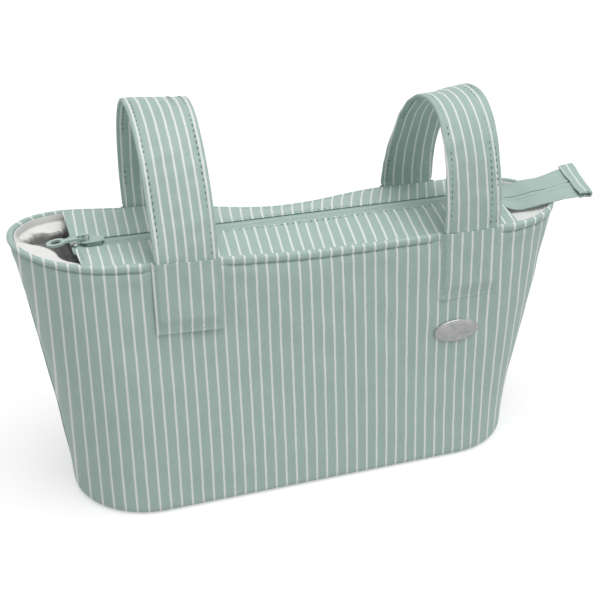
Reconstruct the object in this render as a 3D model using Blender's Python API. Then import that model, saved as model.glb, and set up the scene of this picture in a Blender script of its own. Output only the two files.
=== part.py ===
"""Zip-top stroller bag in striped coated fabric, with two strap loops.

Metres, +Z up. The origin is the centre of the base, on the surface the bag stands on.
-Y is the front, the slider and its pull are at the -X end of the zip.
"""

import math

import bmesh
import bpy
import numpy as np
from mathutils import Vector

# Body: outline at the rim and at the base
RIM_LENGTH = 0.380
RIM_DEPTH_LEFT = 0.117
RIM_DEPTH_RIGHT = 0.108
RIM_HEIGHT = 0.1754
BASE_LENGTH = 0.3224
BASE_DEPTH = 0.108
BASE_SHIFT = -0.0049
END_ROUNDNESS = 0.95
WALL_FLARE = 1.3
BASE_EDGE_RADIUS = 0.012

# Body: how the soft rim hangs
RIM_SAG = 0.0054
RIM_PINCH = 0.0077
RIM_LEAN = 0.006
END_RISE = 0.006

# Cloth and boards
CLOTH = 0.0016
LINING_CLOTH = 0.0008
LINING_STANDOFF = 0.0030
BOARD = 0.0020
GAP = 0.0003
SEAM_CLEAR = 0.0007
HEM_DROP = 0.0085
HEM_WIDTH = 0.0042
HEM_BULGE = 0.0011
HEM_PRESS = 0.0015
HEM_FADE = 0.005
TURNED_UNDER = math.radians(15)

# Straps and the patches that hold their ends
STRAP_WIDTH = 0.0410
STRAP_THICKNESS = 0.0024
STRAP_COLLAR = 0.0030
STRAP_LEFT_X = -0.0878
STRAP_RIGHT_X = 0.1059
STRAP_LEFT_RISE = 0.0821
STRAP_RIGHT_RISE = 0.0809
STRAP_LEFT_TILT = 0.0015
STRAP_RIGHT_TILT = 0.0012
STRAP_LEFT_LEAN = 0.0125
STRAP_RIGHT_LEAN = -0.0103
STRAP_LEFT_TWIST = -0.0039
STRAP_RIGHT_TWIST = 0.0055
STRAP_LEFT_SKEW = 0.0012
STRAP_RIGHT_SKEW = 0.0034
PATCH_HEIGHT = 0.0480
PATCH_WALL = 0.0012

# Zip: chain, tapes and the cloth panels they are sewn to
ZIP_LIFT = 0.0011
ZIP_SHIFT = -0.0035
ZIP_PANEL_LEFT = -0.1470
ZIP_PANEL_RIGHT = 0.1350
ZIP_PANEL_EDGE = 0.0080
ZIP_PANEL_BULGE = 0.0015
TAPE_LEFT = -0.1500
TAPE_RIGHT = 0.2195
TAPE_HALF_WIDTH = 0.0170
TAPE_THICKNESS = 0.0006
CHAIN_SLOT = 0.0018
COIL_WIDTH = 0.0022
COIL_HEIGHT = 0.0018
STOP_LENGTH = 0.0025
TAIL_START = 0.1370
TAIL_RISE = 0.0065
TAIL_DIP = 0.0030
TAIL_SWING = 0.0120
TAIL_ROLL = math.radians(13)
TAB_LENGTH = 0.0165
TAB_OVERHANG = 0.0015

# Slider and pull
SLIDER_X = -0.1380
SLIDER_LENGTH = 0.0160
SLIDER_WIDTH = 0.0115
SLIDER_PLATE = 0.0012
SLIDER_FLANGE = 0.0013
SLIDER_RUNNING_GAP = 0.00035
BAIL_SPAN = 0.0060
BAIL_WIDTH = 0.0024
BAIL_WIRE = 0.0009
BAIL_CLEAR_HEIGHT = 0.0031
BAIL_SETBACK = 0.0044
BAIL_PLAY = 0.0004
PULL_LENGTH = 0.0185
PULL_THICKNESS = 0.0012
PULL_BAR = 0.0009
PULL_ARM = 0.0013
PULL_RING_RADIUS = 0.0060
PULL_EYE_RADIUS = 0.0037
PULL_DROOP = math.radians(6)

# Badge
BADGE_X = 0.0975
BADGE_DROP = 0.0749
BADGE_WIDTH = 0.0330
BADGE_HEIGHT = 0.0165
BADGE_DOME = 0.0022
BADGE_EDGE = 0.0007
PRONG_SPACING = 0.0160
PRONG_WIDTH = 0.0016
PRONG_THICKNESS = 0.0005
WASHER_THICKNESS = 0.0008

END_STEPS = 8
STRAIGHT_STEPS = 13

half_rim = RIM_LENGTH / 2
half_base = BASE_LENGTH / 2
strap_half = STRAP_WIDTH / 2
patch_half = strap_half + GAP + PATCH_WALL
patch_drop = STRAP_THICKNESS + 2 * GAP
patch_clear = patch_half + HEM_PRESS
rim_radius = END_ROUNDNESS * (RIM_DEPTH_LEFT + RIM_DEPTH_RIGHT) / 4
shank_half = BAIL_WIDTH / 2 + BAIL_PLAY + PULL_ARM
zip_height = RIM_HEIGHT + ZIP_LIFT
badge_height = RIM_HEIGHT - BADGE_DROP


def clear_scene():
    for thing in list(bpy.data.objects):
        bpy.data.objects.remove(thing, do_unlink=True)


def material(name, colour, roughness, metallic=0.0):
    made = bpy.data.materials.new(name)
    made.use_nodes = True
    shader = made.node_tree.nodes["Principled BSDF"]
    shader.inputs["Base Color"].default_value = (*colour, 1.0)
    shader.inputs["Roughness"].default_value = roughness
    shader.inputs["Metallic"].default_value = metallic
    made.diffuse_color = (*colour, 1.0)
    return made


def mesh_object(name, points, faces, finish, smooth_angle=40):
    """A closed mesh from points and faces, with its faces turned outwards."""
    mesh = bpy.data.meshes.new(name)
    mesh.from_pydata([tuple(p) for p in points], [], faces)
    work = bmesh.new()
    work.from_mesh(mesh)
    bmesh.ops.recalc_face_normals(work, faces=work.faces)
    work.to_mesh(mesh)
    work.free()
    mesh.shade_smooth()
    mesh.set_sharp_from_angle(angle=math.radians(smooth_angle))
    made = bpy.data.objects.new(name, mesh)
    bpy.context.scene.collection.objects.link(made)
    made.data.materials.append(finish)
    return made


def loft(name, rings, finish, closed_path=False, smooth_angle=40):
    """Skins a row of closed loops, rings[station, point, xyz], and caps both ends."""
    stations, around = rings.shape[:2]
    faces = []
    for i in range(stations if closed_path else stations - 1):
        here = i * around
        there = (i + 1) % stations * around
        for j in range(around):
            k = (j + 1) % around
            faces.append((here + j, here + k, there + k, there + j))
    if not closed_path:
        faces.append(tuple(range(around)))
        faces.append(tuple((stations - 1) * around + j for j in range(around)))
    return mesh_object(name, rings.reshape(-1, 3), faces, finish, smooth_angle)


def box(name, low, high, finish):
    x0, y0, z0 = low
    x1, y1, z1 = high
    ring = [(x0, y0), (x1, y0), (x1, y1), (x0, y1)]
    rings = np.array([[(x, y, z) for x, y in ring] for z in (z0, z1)])
    return loft(name, rings, finish)


def helper(thing):
    """Keeps an object as a cutter or as a piece to be joined to another one."""
    thing.hide_render = True
    thing.display_type = "WIRE"
    return thing


def combine(target, operation, others):
    for other in others:
        modifier = target.modifiers.new(operation.lower() + "_" + other.name, "BOOLEAN")
        modifier.operation = operation
        modifier.solver = "EXACT"
        modifier.object = helper(other)


def hump(x):
    """1 midway between the straps and 0 at the straps and beyond them."""
    middle = (STRAP_RIGHT_X - STRAP_LEFT_X) / 2
    return (np.cos(np.pi * np.clip(np.abs(x) / middle, 0, 1)) + 1) / 2


def rim_height(x):
    """The rim sags between the straps, leans down to the right and rises at both ends."""
    strap = (STRAP_RIGHT_X - STRAP_LEFT_X) / 2
    outward = np.clip((np.abs(x) - strap) / (half_rim - strap), 0, 1)
    lean = RIM_LEAN * x / half_rim
    return RIM_HEIGHT - RIM_SAG * hump(x) - lean + END_RISE * outward**1.5


def section(x_share, x_end, v):
    """Half length, end radius and half depths of the outline at height share v."""
    half_length = half_base + (half_rim - half_base) * v**WALL_FLARE
    left = (BASE_DEPTH + (RIM_DEPTH_LEFT - BASE_DEPTH) * v) / 2
    right = (BASE_DEPTH + (RIM_DEPTH_RIGHT - BASE_DEPTH) * v) / 2
    radius = END_ROUNDNESS * (left + right) / 2
    x = x_share * (half_length - radius) + x_end * radius
    share = (x / half_length + 1) / 2
    half_depth = left + (right - left) * share - RIM_PINCH * hump(x) * v**2
    return x, half_depth


def outline():
    """Half of the bag's outline, from the left side seam round to the right one.

    Each sample is its share along the straight side, the sine of its angle round the
    end, signed, and that angle's cosine. Extra samples stand beside each patch.
    """
    straight = half_rim - rim_radius
    marks = list(np.linspace(-straight, straight, STRAIGHT_STEPS))
    for centre in (STRAP_LEFT_X, STRAP_RIGHT_X):
        for side in (-1, 1):
            for step in (patch_clear, patch_clear + HEM_FADE):
                marks.append(centre + side * step)
    marks = np.unique(np.round(marks, 5))
    marks = marks[np.abs(marks) <= straight]
    seam = math.asin(1 - 0.5 * (GAP / RIM_DEPTH_LEFT) ** 2)
    turn = np.linspace(seam, 0, END_STEPS, endpoint=False)
    share = np.concatenate([-np.ones(END_STEPS), marks / straight, np.ones(END_STEPS)])
    sine = np.concatenate([-np.sin(turn), np.zeros(len(marks)), np.sin(turn[::-1])])
    cosine = np.concatenate([np.cos(turn), np.ones(len(marks)), np.cos(turn[::-1])])
    return share, sine, cosine


def wall(offset, height, side, samples):
    """Points of the wall at one height all along half the outline.

    offset is how far they stand out of the cloth's outer face. A height above zero is
    measured up from the base and one below zero down from the rim.
    """
    share, sine, cosine = samples
    top_x = section(share, sine, 1.0)[0]
    rim = rim_height(top_x)
    z = np.where(height <= 0, rim + height, height)
    x, half_depth = section(share, sine, z / rim)
    x = x + BASE_SHIFT * (1 - z / rim) + offset * sine
    y = side * (half_depth + offset) * cosine
    return np.stack([x, y, z], axis=-1)


def side_depth(x, z):
    """Half depth of the straight side's outer face at a place and height."""
    v = z / rim_height(x)
    half_length = half_base + (half_rim - half_base) * v**WALL_FLARE
    left = (BASE_DEPTH + (RIM_DEPTH_LEFT - BASE_DEPTH) * v) / 2
    right = (BASE_DEPTH + (RIM_DEPTH_RIGHT - BASE_DEPTH) * v) / 2
    radius = END_ROUNDNESS * (left + right) / 2
    along = x - BASE_SHIFT * (1 - v)
    over = np.clip((np.abs(along) - half_length + radius) / radius, 0, 1)
    share = (along / half_length + 1) / 2
    half_depth = left + (right - left) * share - RIM_PINCH * hump(along) * v**2
    return half_depth * np.sqrt(1 - over**2)


def hem_share(samples):
    """1 where the rolled hem stands out, 0 where a patch presses it flat."""
    top_x = section(samples[0], samples[1], 1.0)[0]
    share = np.ones(len(top_x))
    for centre in (STRAP_LEFT_X, STRAP_RIGHT_X):
        away = (np.abs(top_x - centre) - patch_clear) / HEM_FADE
        share = np.minimum(share, np.clip(away, 0, 1))
    return share


def base_arc(radius, start):
    """Offsets and heights along the rounded lower edge, from under the base upwards."""
    angles = np.linspace(start, math.pi / 2, 5)
    return [
        (-BASE_EDGE_RADIUS + radius * math.sin(a), BASE_EDGE_RADIUS - radius * math.cos(a))
        for a in angles
    ]


def side_panel(name, side, finish):
    """One striped side of the bag, with its lower edge turned under and its rim hemmed."""
    samples = outline()
    hem = hem_share(samples)
    outer = base_arc(BASE_EDGE_RADIUS, TURNED_UNDER)
    inner = base_arc(BASE_EDGE_RADIUS - CLOTH, TURNED_UNDER)
    rows = [wall(d, z, side, samples) for d, z in outer]
    for share in (0.3, 0.55, 0.8):
        rows.append(wall(0, share * RIM_HEIGHT, side, samples))
    rows.append(wall(0, -HEM_DROP - 0.0010, side, samples))
    rows.append(wall(-0.25 * CLOTH, -HEM_DROP, side, samples))
    for share, rise in ((0.75, 0.75), (1.0, 0.40), (0.6, 0.10)):
        rows.append(wall(share * HEM_BULGE * hem, -HEM_DROP * rise, side, samples))
    rows.append(wall(-0.30 * HEM_WIDTH, 0, side, samples))
    rows.append(wall(-0.85 * HEM_WIDTH, -0.10 * HEM_DROP, side, samples))
    rows.append(wall(-HEM_WIDTH, -0.40 * HEM_DROP, side, samples))
    rows.append(wall(-HEM_WIDTH, -HEM_DROP, side, samples))
    rows.append(wall(-CLOTH, -HEM_DROP - 0.0005, side, samples))
    for share in (0.8, 0.55, 0.3):
        rows.append(wall(-CLOTH, share * RIM_HEIGHT, side, samples))
    rows += [wall(d, z, side, samples) for d, z in reversed(inner)]
    rings = np.stack(rows, axis=1)
    return loft(name, rings, finish, smooth_angle=50)


def full_ring(offset, height, samples):
    """The whole outline as one closed loop."""
    front = wall(offset, height, -1, samples)
    back = wall(offset, height, 1, samples)[::-1]
    return np.concatenate([front, back])


def base_plate(name, offset, low, high, finish):
    samples = outline()
    rings = [full_ring(offset, max(z, 1e-6), samples) for z in (low, high)]
    for ring, z in zip(rings, (low, high)):
        ring[:, 2] = z
    return loft(name, np.array(rings), finish)


def lining(finish):
    """The inner bag: it hangs from under the hem and lies on the base board."""
    samples = outline()
    floor = CLOTH + BOARD + 2 * GAP
    top = -HEM_DROP - 0.0005 - GAP
    rows = []
    faces = ((LINING_STANDOFF, floor), (LINING_STANDOFF + LINING_CLOTH, floor + LINING_CLOTH))
    for offset, depth in faces:
        radius = BASE_EDGE_RADIUS - offset
        start = math.acos((BASE_EDGE_RADIUS - depth) / radius)
        side = [full_ring(d, z, samples) for d, z in base_arc(radius, start)[::2]]
        side += [full_ring(-offset, share * RIM_HEIGHT, samples) for share in (0.4, 0.75)]
        side.append(full_ring(-offset, top, samples))
        rows.append(side)
    rings = np.array(rows[0] + rows[1][::-1])
    return loft("lining", rings, finish, smooth_angle=60)


def zip_panel_top(x, s, side):
    """Half depth and height of a zip panel's upper face; s runs from the zip to the rim."""
    rim = rim_height(x)
    outer = side_depth(x, rim) - HEM_WIDTH - SEAM_CLEAR
    ridge = zip_height + TAPE_THICKNESS / 2 + GAP + CLOTH
    edge = ZIP_PANEL_EDGE + side * ZIP_SHIFT
    y = edge + (outer - edge) * s
    z = ridge + (rim - 0.0022 - ridge) * s + ZIP_PANEL_BULGE * np.sin(np.pi * s)
    return y, z


def zip_panel(name, side, finish):
    stations = np.linspace(ZIP_PANEL_LEFT, ZIP_PANEL_RIGHT, 15)
    shares = np.linspace(0, 1, 6)
    x, s = np.meshgrid(stations, shares, indexing="ij")
    y, z = zip_panel_top(x, s, side)
    top = np.stack([x, side * y, z], axis=-1)
    bottom = top - np.array([0, 0, CLOTH])
    rings = np.concatenate([top, bottom[:, ::-1]], axis=1)
    return loft(name, rings, finish)


def zip_point(x, y, lift):
    """A point of the zip. The tail past the right panel end rolls to the front at once,
    dips into the bag, and swings forward over its end before it comes back at the tab.
    """
    along = np.clip((x - TAIL_START) / (TAPE_RIGHT - TAIL_START), 0, 1)
    turn = np.clip(4 * along, 0, 1)
    roll = TAIL_ROLL * turn**2 * (3 - 2 * turn)
    dip = TAIL_DIP * np.sin(np.pi * np.clip(2.2 * along, 0, 1)) ** 2
    middle = ZIP_SHIFT - TAIL_SWING * np.sin(np.pi * along) ** 1.4
    z = zip_height + TAIL_RISE * along - dip
    turned = y * np.cos(roll) - lift * np.sin(roll)
    return np.stack([x, middle + turned, z + y * np.sin(roll) + lift * np.cos(roll)], axis=-1)


def tape_drop(x, y, side):
    """How far the tape bends down under its panel, past the panel's edge."""
    rim = rim_height(x)
    outer = side_depth(x, rim) - HEM_WIDTH - SEAM_CLEAR
    edge = ZIP_PANEL_EDGE + side * ZIP_SHIFT
    s = np.clip((y - ZIP_PANEL_EDGE) / (outer - edge), 0, 1)
    ridge = zip_panel_top(x, np.zeros_like(s), side)[1]
    under = zip_panel_top(x, s, side)[1] - ridge
    fade = np.clip((TAPE_RIGHT - x) / (TAPE_RIGHT - ZIP_PANEL_RIGHT), 0, 1)
    return np.where(x > ZIP_PANEL_RIGHT, under * np.clip(4 * fade - 3, 0, 1), under)


def tail_stations(start, stop):
    """Places along the tail that its tapes and its chain share, so that they bend alike."""
    shared = np.linspace(TAIL_START, TAPE_RIGHT, 15)
    return np.concatenate([[start], shared[(shared > start) & (shared < stop)], [stop]])


def zip_tape(name, side, stations, finish):
    """One tape with its chain edge on the slot; past its panel's edge it lies under it."""
    across = np.array([CHAIN_SLOT / 2, 0.004, ZIP_PANEL_EDGE, 0.0105, 0.0140, TAPE_HALF_WIDTH])
    x, y = np.meshgrid(stations, across, indexing="ij")
    drop = tape_drop(x, y, side)
    top = zip_point(x, side * y, drop + TAPE_THICKNESS / 2)
    bottom = zip_point(x, side * y, drop - TAPE_THICKNESS / 2)
    rings = np.concatenate([top, bottom[:, ::-1]], axis=1)
    return loft(name, rings, finish)


def zip_coil(name, side, finish):
    """Half of the closed chain, standing on its tape beside the slider's wedge."""
    straight = np.linspace(TAPE_LEFT + STOP_LENGTH + GAP, ZIP_PANEL_RIGHT, 15)
    stations = np.concatenate([straight, tail_stations(TAIL_START, TAPE_RIGHT - 0.004)])
    low = TAPE_THICKNESS / 2 + GAP
    inner = CHAIN_SLOT / 2
    outer = inner + COIL_WIDTH
    shape = [
        (inner, low),
        (outer, low),
        (outer, low + 0.55 * COIL_HEIGHT),
        (outer - 0.25 * COIL_WIDTH, low + COIL_HEIGHT),
        (inner + 0.25 * COIL_WIDTH, low + COIL_HEIGHT),
        (inner, low + 0.7 * COIL_HEIGHT),
    ]
    y = np.array([p[0] for p in shape])
    lift = np.array([p[1] for p in shape])
    x, y = np.meshgrid(stations, y, indexing="ij")
    rings = zip_point(x, side * y, np.broadcast_to(lift, x.shape))
    return loft(name, rings, finish)


def zip_stop(name, side, finish):
    """Metal clip that closes one row of the chain at its left end."""
    inner = CHAIN_SLOT / 2
    outer = inner + COIL_WIDTH + 0.0004
    low = zip_height + TAPE_THICKNESS / 2 + GAP
    ends = sorted((ZIP_SHIFT + side * inner, ZIP_SHIFT + side * outer))
    corner = (TAPE_LEFT, ends[0], low)
    far = (TAPE_LEFT + STOP_LENGTH, ends[1], low + COIL_HEIGHT)
    made = box(name, corner, far, finish)
    bevel = made.modifiers.new("rounded", "BEVEL")
    bevel.width = 0.0004
    bevel.segments = 2
    return made


def zip_end_tab(finish):
    """Striped cloth folded round the end of the tail, open towards the zip."""
    start = TAPE_RIGHT - TAB_LENGTH + 0.004
    fold = TAPE_RIGHT + GAP
    low = TAPE_THICKNESS / 2 + GAP
    over_coil = low + COIL_HEIGHT + GAP
    shape = [
        (start, over_coil + CLOTH),
        (fold, over_coil + CLOTH),
        (fold + 0.7 * CLOTH, over_coil + 0.7 * CLOTH),
        (fold + CLOTH, over_coil),
        (fold + CLOTH, -low),
        (fold + 0.7 * CLOTH, -low - 0.7 * CLOTH),
        (fold, -low - CLOTH),
        (start, -low - CLOTH),
        (start, -low),
        (fold, -low),
        (fold, over_coil),
        (start, over_coil),
    ]
    half = TAPE_HALF_WIDTH + TAB_OVERHANG
    rings = []
    for y in np.linspace(-half, half, 5):
        x = np.array([p[0] for p in shape])
        lift = np.array([p[1] for p in shape])
        rings.append(zip_point(x, np.full(len(x), y), lift))
    return loft("zip_end_tab", np.array(rings), finish)


def slider_plate(name, low, high, finish):
    """Shield-shaped plate: full width at the mouth, narrower where the chain leaves."""
    half = SLIDER_LENGTH / 2
    x = np.linspace(-half, half, 9)
    rounding = np.sqrt(np.clip(1 - (np.abs(x) / (half * 1.02)) ** 6, 0, 1))
    width = SLIDER_WIDTH / 2 * (1 - 0.12 * (x / half + 1) / 2) * (0.72 + 0.28 * rounding)
    upper = np.stack([SLIDER_X + x, ZIP_SHIFT + width], axis=-1)
    lower = np.stack([SLIDER_X + x[::-1], ZIP_SHIFT - width[::-1]], axis=-1)
    ring = np.concatenate([upper, lower])
    rings = np.array([np.column_stack([ring, np.full(len(ring), z)]) for z in (low, high)])
    return loft(name, rings, finish)


def bail_arch(half_span, height, sink):
    """Outline of an arch over the X-Z plane, from its right foot over to its left one."""
    knee = 0.4 * BAIL_CLEAR_HEIGHT
    arch = [(half_span, -sink)]
    for angle in np.linspace(0, math.pi, 9):
        lift = max(math.sin(angle), 0.0) ** 0.5
        arch.append((half_span * math.cos(angle), knee + (height - knee) * lift))
    arch.append((-half_span, -sink))
    return arch


def slider_bail(name, base, finish):
    """Arched bridge along the slider, under which the pull's bar turns."""
    centre = SLIDER_X - BAIL_SETBACK
    sink = SLIDER_PLATE / 3
    outer = bail_arch(BAIL_SPAN / 2, BAIL_CLEAR_HEIGHT + BAIL_WIRE, sink)
    inner = bail_arch(BAIL_SPAN / 2 - BAIL_WIRE, BAIL_CLEAR_HEIGHT, sink)
    shape = outer + inner[::-1]
    half = BAIL_WIDTH / 2
    ends = (ZIP_SHIFT - half, ZIP_SHIFT + half)
    rings = np.array([[(centre + x, y, base + z) for x, z in shape] for y in ends])
    return loft(name, rings, finish)


def zip_slider(finish):
    top_low = zip_height + TAPE_THICKNESS / 2 + GAP + COIL_HEIGHT + SLIDER_RUNNING_GAP
    top_high = top_low + SLIDER_PLATE
    bottom_high = zip_height - TAPE_THICKNESS / 2 - SLIDER_RUNNING_GAP
    bottom_low = bottom_high - SLIDER_PLATE
    flange_low = zip_height + TAPE_THICKNESS / 2 + SLIDER_RUNNING_GAP
    slider = slider_plate("zip_slider", top_low, top_high, finish)
    pieces = [slider_plate("slider_lower_plate", bottom_low, bottom_high, finish)]
    left = SLIDER_X - SLIDER_LENGTH / 2
    wedge = CHAIN_SLOT / 2 - GAP
    low = (left + 0.0012, ZIP_SHIFT - wedge, bottom_high - 0.5 * SLIDER_PLATE)
    high = (left + 0.0042, ZIP_SHIFT + wedge, top_low + 0.5 * SLIDER_PLATE)
    pieces.append(box("slider_wedge", low, high, finish))
    channel = CHAIN_SLOT / 2 + COIL_WIDTH + SLIDER_RUNNING_GAP
    for name, side in (("slider_flange_front", -1), ("slider_flange_back", 1)):
        far = channel + 0.75 * SLIDER_FLANGE
        ends = sorted((ZIP_SHIFT + side * channel, ZIP_SHIFT + side * far))
        low = (SLIDER_X - 0.30 * SLIDER_LENGTH, ends[0], flange_low)
        high = (SLIDER_X + 0.42 * SLIDER_LENGTH, ends[1], top_low + 0.5 * SLIDER_PLATE)
        pieces.append(box(name, low, high, finish))
    pieces.append(slider_bail("slider_bail", top_high, finish))
    combine(slider, "UNION", pieces)
    return top_high


def zip_pull(pivot, finish):
    """Flat pull with a slot round the bail and a round eye; its bar lies on the pivot."""
    shank = shank_half
    neck = 0.85 * shank
    meet = math.asin(neck / PULL_RING_RADIUS)
    ring = np.linspace(math.pi - meet, -math.pi + meet, 25)
    shape = [(PULL_BAR / 2, shank), (-0.0050, shank), (-0.0090, neck)]
    for a in ring:
        shape.append((-PULL_LENGTH - PULL_RING_RADIUS * math.cos(a), PULL_RING_RADIUS * math.sin(a)))
    shape += [(-0.0090, -neck), (-0.0050, -shank), (PULL_BAR / 2, -shank)]
    half = PULL_THICKNESS / 2
    rings = np.array([[(x, y, z) for x, y in shape] for z in (-half, half)])
    pull = loft("zip_pull", rings, finish)
    slot_half = BAIL_WIDTH / 2 + BAIL_PLAY
    slot_far = BAIL_SPAN / 2 + BAIL_CLEAR_HEIGHT / 2 + BAIL_PLAY
    low = (-slot_far, -slot_half, -2 * half)
    high = (-PULL_BAR / 2, slot_half, 2 * half)
    slot = box("pull_slot", low, high, finish)
    angles = np.linspace(0, 2 * math.pi, 24, endpoint=False)
    circle = [
        (-PULL_LENGTH + PULL_EYE_RADIUS * math.cos(a), PULL_EYE_RADIUS * math.sin(a)) for a in angles
    ]
    eye_rings = np.array([[(x, y, z) for x, y in circle] for z in (-2 * half, 2 * half)])
    eye = loft("pull_eye", eye_rings, finish)
    combine(pull, "DIFFERENCE", [slot, eye])
    bevel = pull.modifiers.new("softened", "BEVEL")
    bevel.width = 0.0002
    bevel.segments = 1
    for thing in (pull, slot, eye):
        thing.location = pivot
        thing.rotation_euler = (0, -PULL_DROOP, 0)
    return pull


def strap_surface(centre, arch, stations):
    """Middle surface of a strap: up the front wall, over the arch and down the back.

    On a wall it keeps the leg's offset. The arch is half an ellipse in the Y-Z plane that
    leans at its top, and rises, by a different amount at each edge; skew fills its front.
    """
    rise, tilt, lean, twist, skew = arch
    standoff = GAP + STRAP_THICKNESS / 2
    shares = np.array([-1.0, -0.92, 0.0, 0.92, 1.0])
    x = centre + strap_half * shares
    rim = rim_height(x)
    foot = rim - PATCH_HEIGHT + PATCH_WALL + 3 * GAP
    spring = rim + STRAP_COLLAR
    rows = []
    legs = np.linspace(0, 1, 5)
    for share in legs[:-1]:
        height = foot + (spring - foot) * share
        depth = side_depth(x, np.minimum(height, rim)) + standoff
        rows.append(np.stack([x, -depth, height], axis=-1))
    spread = side_depth(x, rim) + standoff
    for angle in np.linspace(0, math.pi, stations):
        offset = (lean + twist * shares) * math.sin(angle)
        y = -spread * math.cos(angle) + offset
        lift = (rise + tilt * shares) * math.sin(angle) + skew * math.sin(2 * angle)
        rows.append(np.stack([x, y, spring + lift], axis=-1))
    for share in legs[::-1][1:]:
        height = foot + (spring - foot) * share
        depth = side_depth(x, np.minimum(height, rim)) + standoff
        rows.append(np.stack([x, depth, height], axis=-1))
    return np.array(rows)


def strap(name, centre, arch, finish):
    middle = strap_surface(centre, arch, 25)
    along = np.gradient(middle, axis=0)
    along[..., 0] = 0
    along /= np.linalg.norm(along, axis=-1, keepdims=True)
    outward = np.stack([np.zeros_like(along[..., 0]), -along[..., 2], along[..., 1]], axis=-1)
    half = np.array([0.5, 1, 1, 1, 0.5])[None, :, None] * STRAP_THICKNESS / 2
    rings = np.concatenate([middle + outward * half, (middle - outward * half)[:, ::-1]], axis=1)
    return loft(name, rings, finish)


def patch(name, centre, side, finish):
    """Shallow cloth cover over a strap's end, sewn down at its sides and its foot."""
    rim = rim_height(centre)
    deep = patch_drop + PATCH_WALL
    inner = patch_half - PATCH_WALL
    foot = rim - PATCH_HEIGHT
    stations = [(foot, GAP), (foot + PATCH_WALL, GAP), (foot + PATCH_WALL + 0.0004, patch_drop)]
    stations += [(foot + share * PATCH_HEIGHT, patch_drop) for share in (0.4, 0.7, 1.0)]
    rings = []
    for z, hollow in stations:
        ring = [
            (-patch_half, GAP),
            (-patch_half, deep - 0.0006),
            (-patch_half + 0.0008, deep),
            (0, deep),
            (patch_half - 0.0008, deep),
            (patch_half, deep - 0.0006),
            (patch_half, GAP),
            (inner, GAP),
            (inner, hollow + 0.00002),
            (0, hollow + 0.00003),
            (-inner, hollow + 0.00002),
            (-inner, GAP),
        ]
        x = centre + np.array([p[0] for p in ring])
        height = z + rim_height(x) - rim
        y = side * (side_depth(x, height) + np.array([p[1] for p in ring]))
        rings.append(np.stack([x, y, height], axis=-1))
    return loft(name, np.array(rings), finish)


def badge_place(depth):
    """Centre of the badge at a depth behind the cloth's outer face."""
    return Vector((BADGE_X, -side_depth(BADGE_X, badge_height) + depth, badge_height))


def badge_tilt():
    step = 0.004
    rise = side_depth(BADGE_X, badge_height + step) - side_depth(BADGE_X, badge_height - step)
    turn = side_depth(BADGE_X + step, badge_height) - side_depth(BADGE_X - step, badge_height)
    return (math.atan2(rise, 2 * step), 0, -math.atan2(turn, 2 * step))


def oval(width, height, depth, steps=32):
    angles = np.linspace(0, 2 * math.pi, steps, endpoint=False)
    return [(width / 2 * math.cos(a), depth, height / 2 * math.sin(a)) for a in angles]


def prong_boxes(prefix, half_width, half_thickness, near, far, finish):
    made = []
    for name, side in (("left", -1), ("right", 1)):
        x = side * PRONG_SPACING / 2
        low = (x - half_width, near, -half_thickness)
        high = (x + half_width, far, half_thickness)
        made.append(box(f"{prefix}_{name}", low, high, finish))
    return made


def badge(panel, finish, washer_finish):
    """Domed oval plate; its two prongs pass the cloth and a washer behind it."""
    rows = [oval(BADGE_WIDTH, BADGE_HEIGHT, -GAP)]
    for angle in np.radians([0, 25, 50, 72]):
        lift = BADGE_EDGE + (BADGE_DOME - BADGE_EDGE) * math.sin(angle)
        narrow = math.cos(angle) ** 0.6
        rows.append(oval(BADGE_WIDTH * narrow, BADGE_HEIGHT * narrow, -GAP - lift))
    plate = loft("badge_plate", np.array(rows), finish)
    back = CLOTH + GAP
    reach = back + WASHER_THICKNESS + 0.0002
    wide = PRONG_WIDTH / 2
    thin = PRONG_THICKNESS / 2
    prongs = prong_boxes("prong", wide, thin, -GAP - 0.5 * BADGE_EDGE, reach, finish)
    depths = (back, back + WASHER_THICKNESS)
    washer_rows = [oval(0.7 * BADGE_WIDTH, 0.55 * BADGE_HEIGHT, d, 20) for d in depths]
    washer = loft("badge_washer", np.array(washer_rows), washer_finish)
    slots = prong_boxes("prong_slot", wide + GAP, thin + GAP, -2 * back, 3 * back, finish)
    for thing in [plate, washer] + prongs + slots:
        thing.location = badge_place(0)
        thing.rotation_euler = badge_tilt()
    combine(plate, "UNION", prongs)
    combine(washer, "DIFFERENCE", slots)
    combine(panel, "DIFFERENCE", slots)


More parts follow.
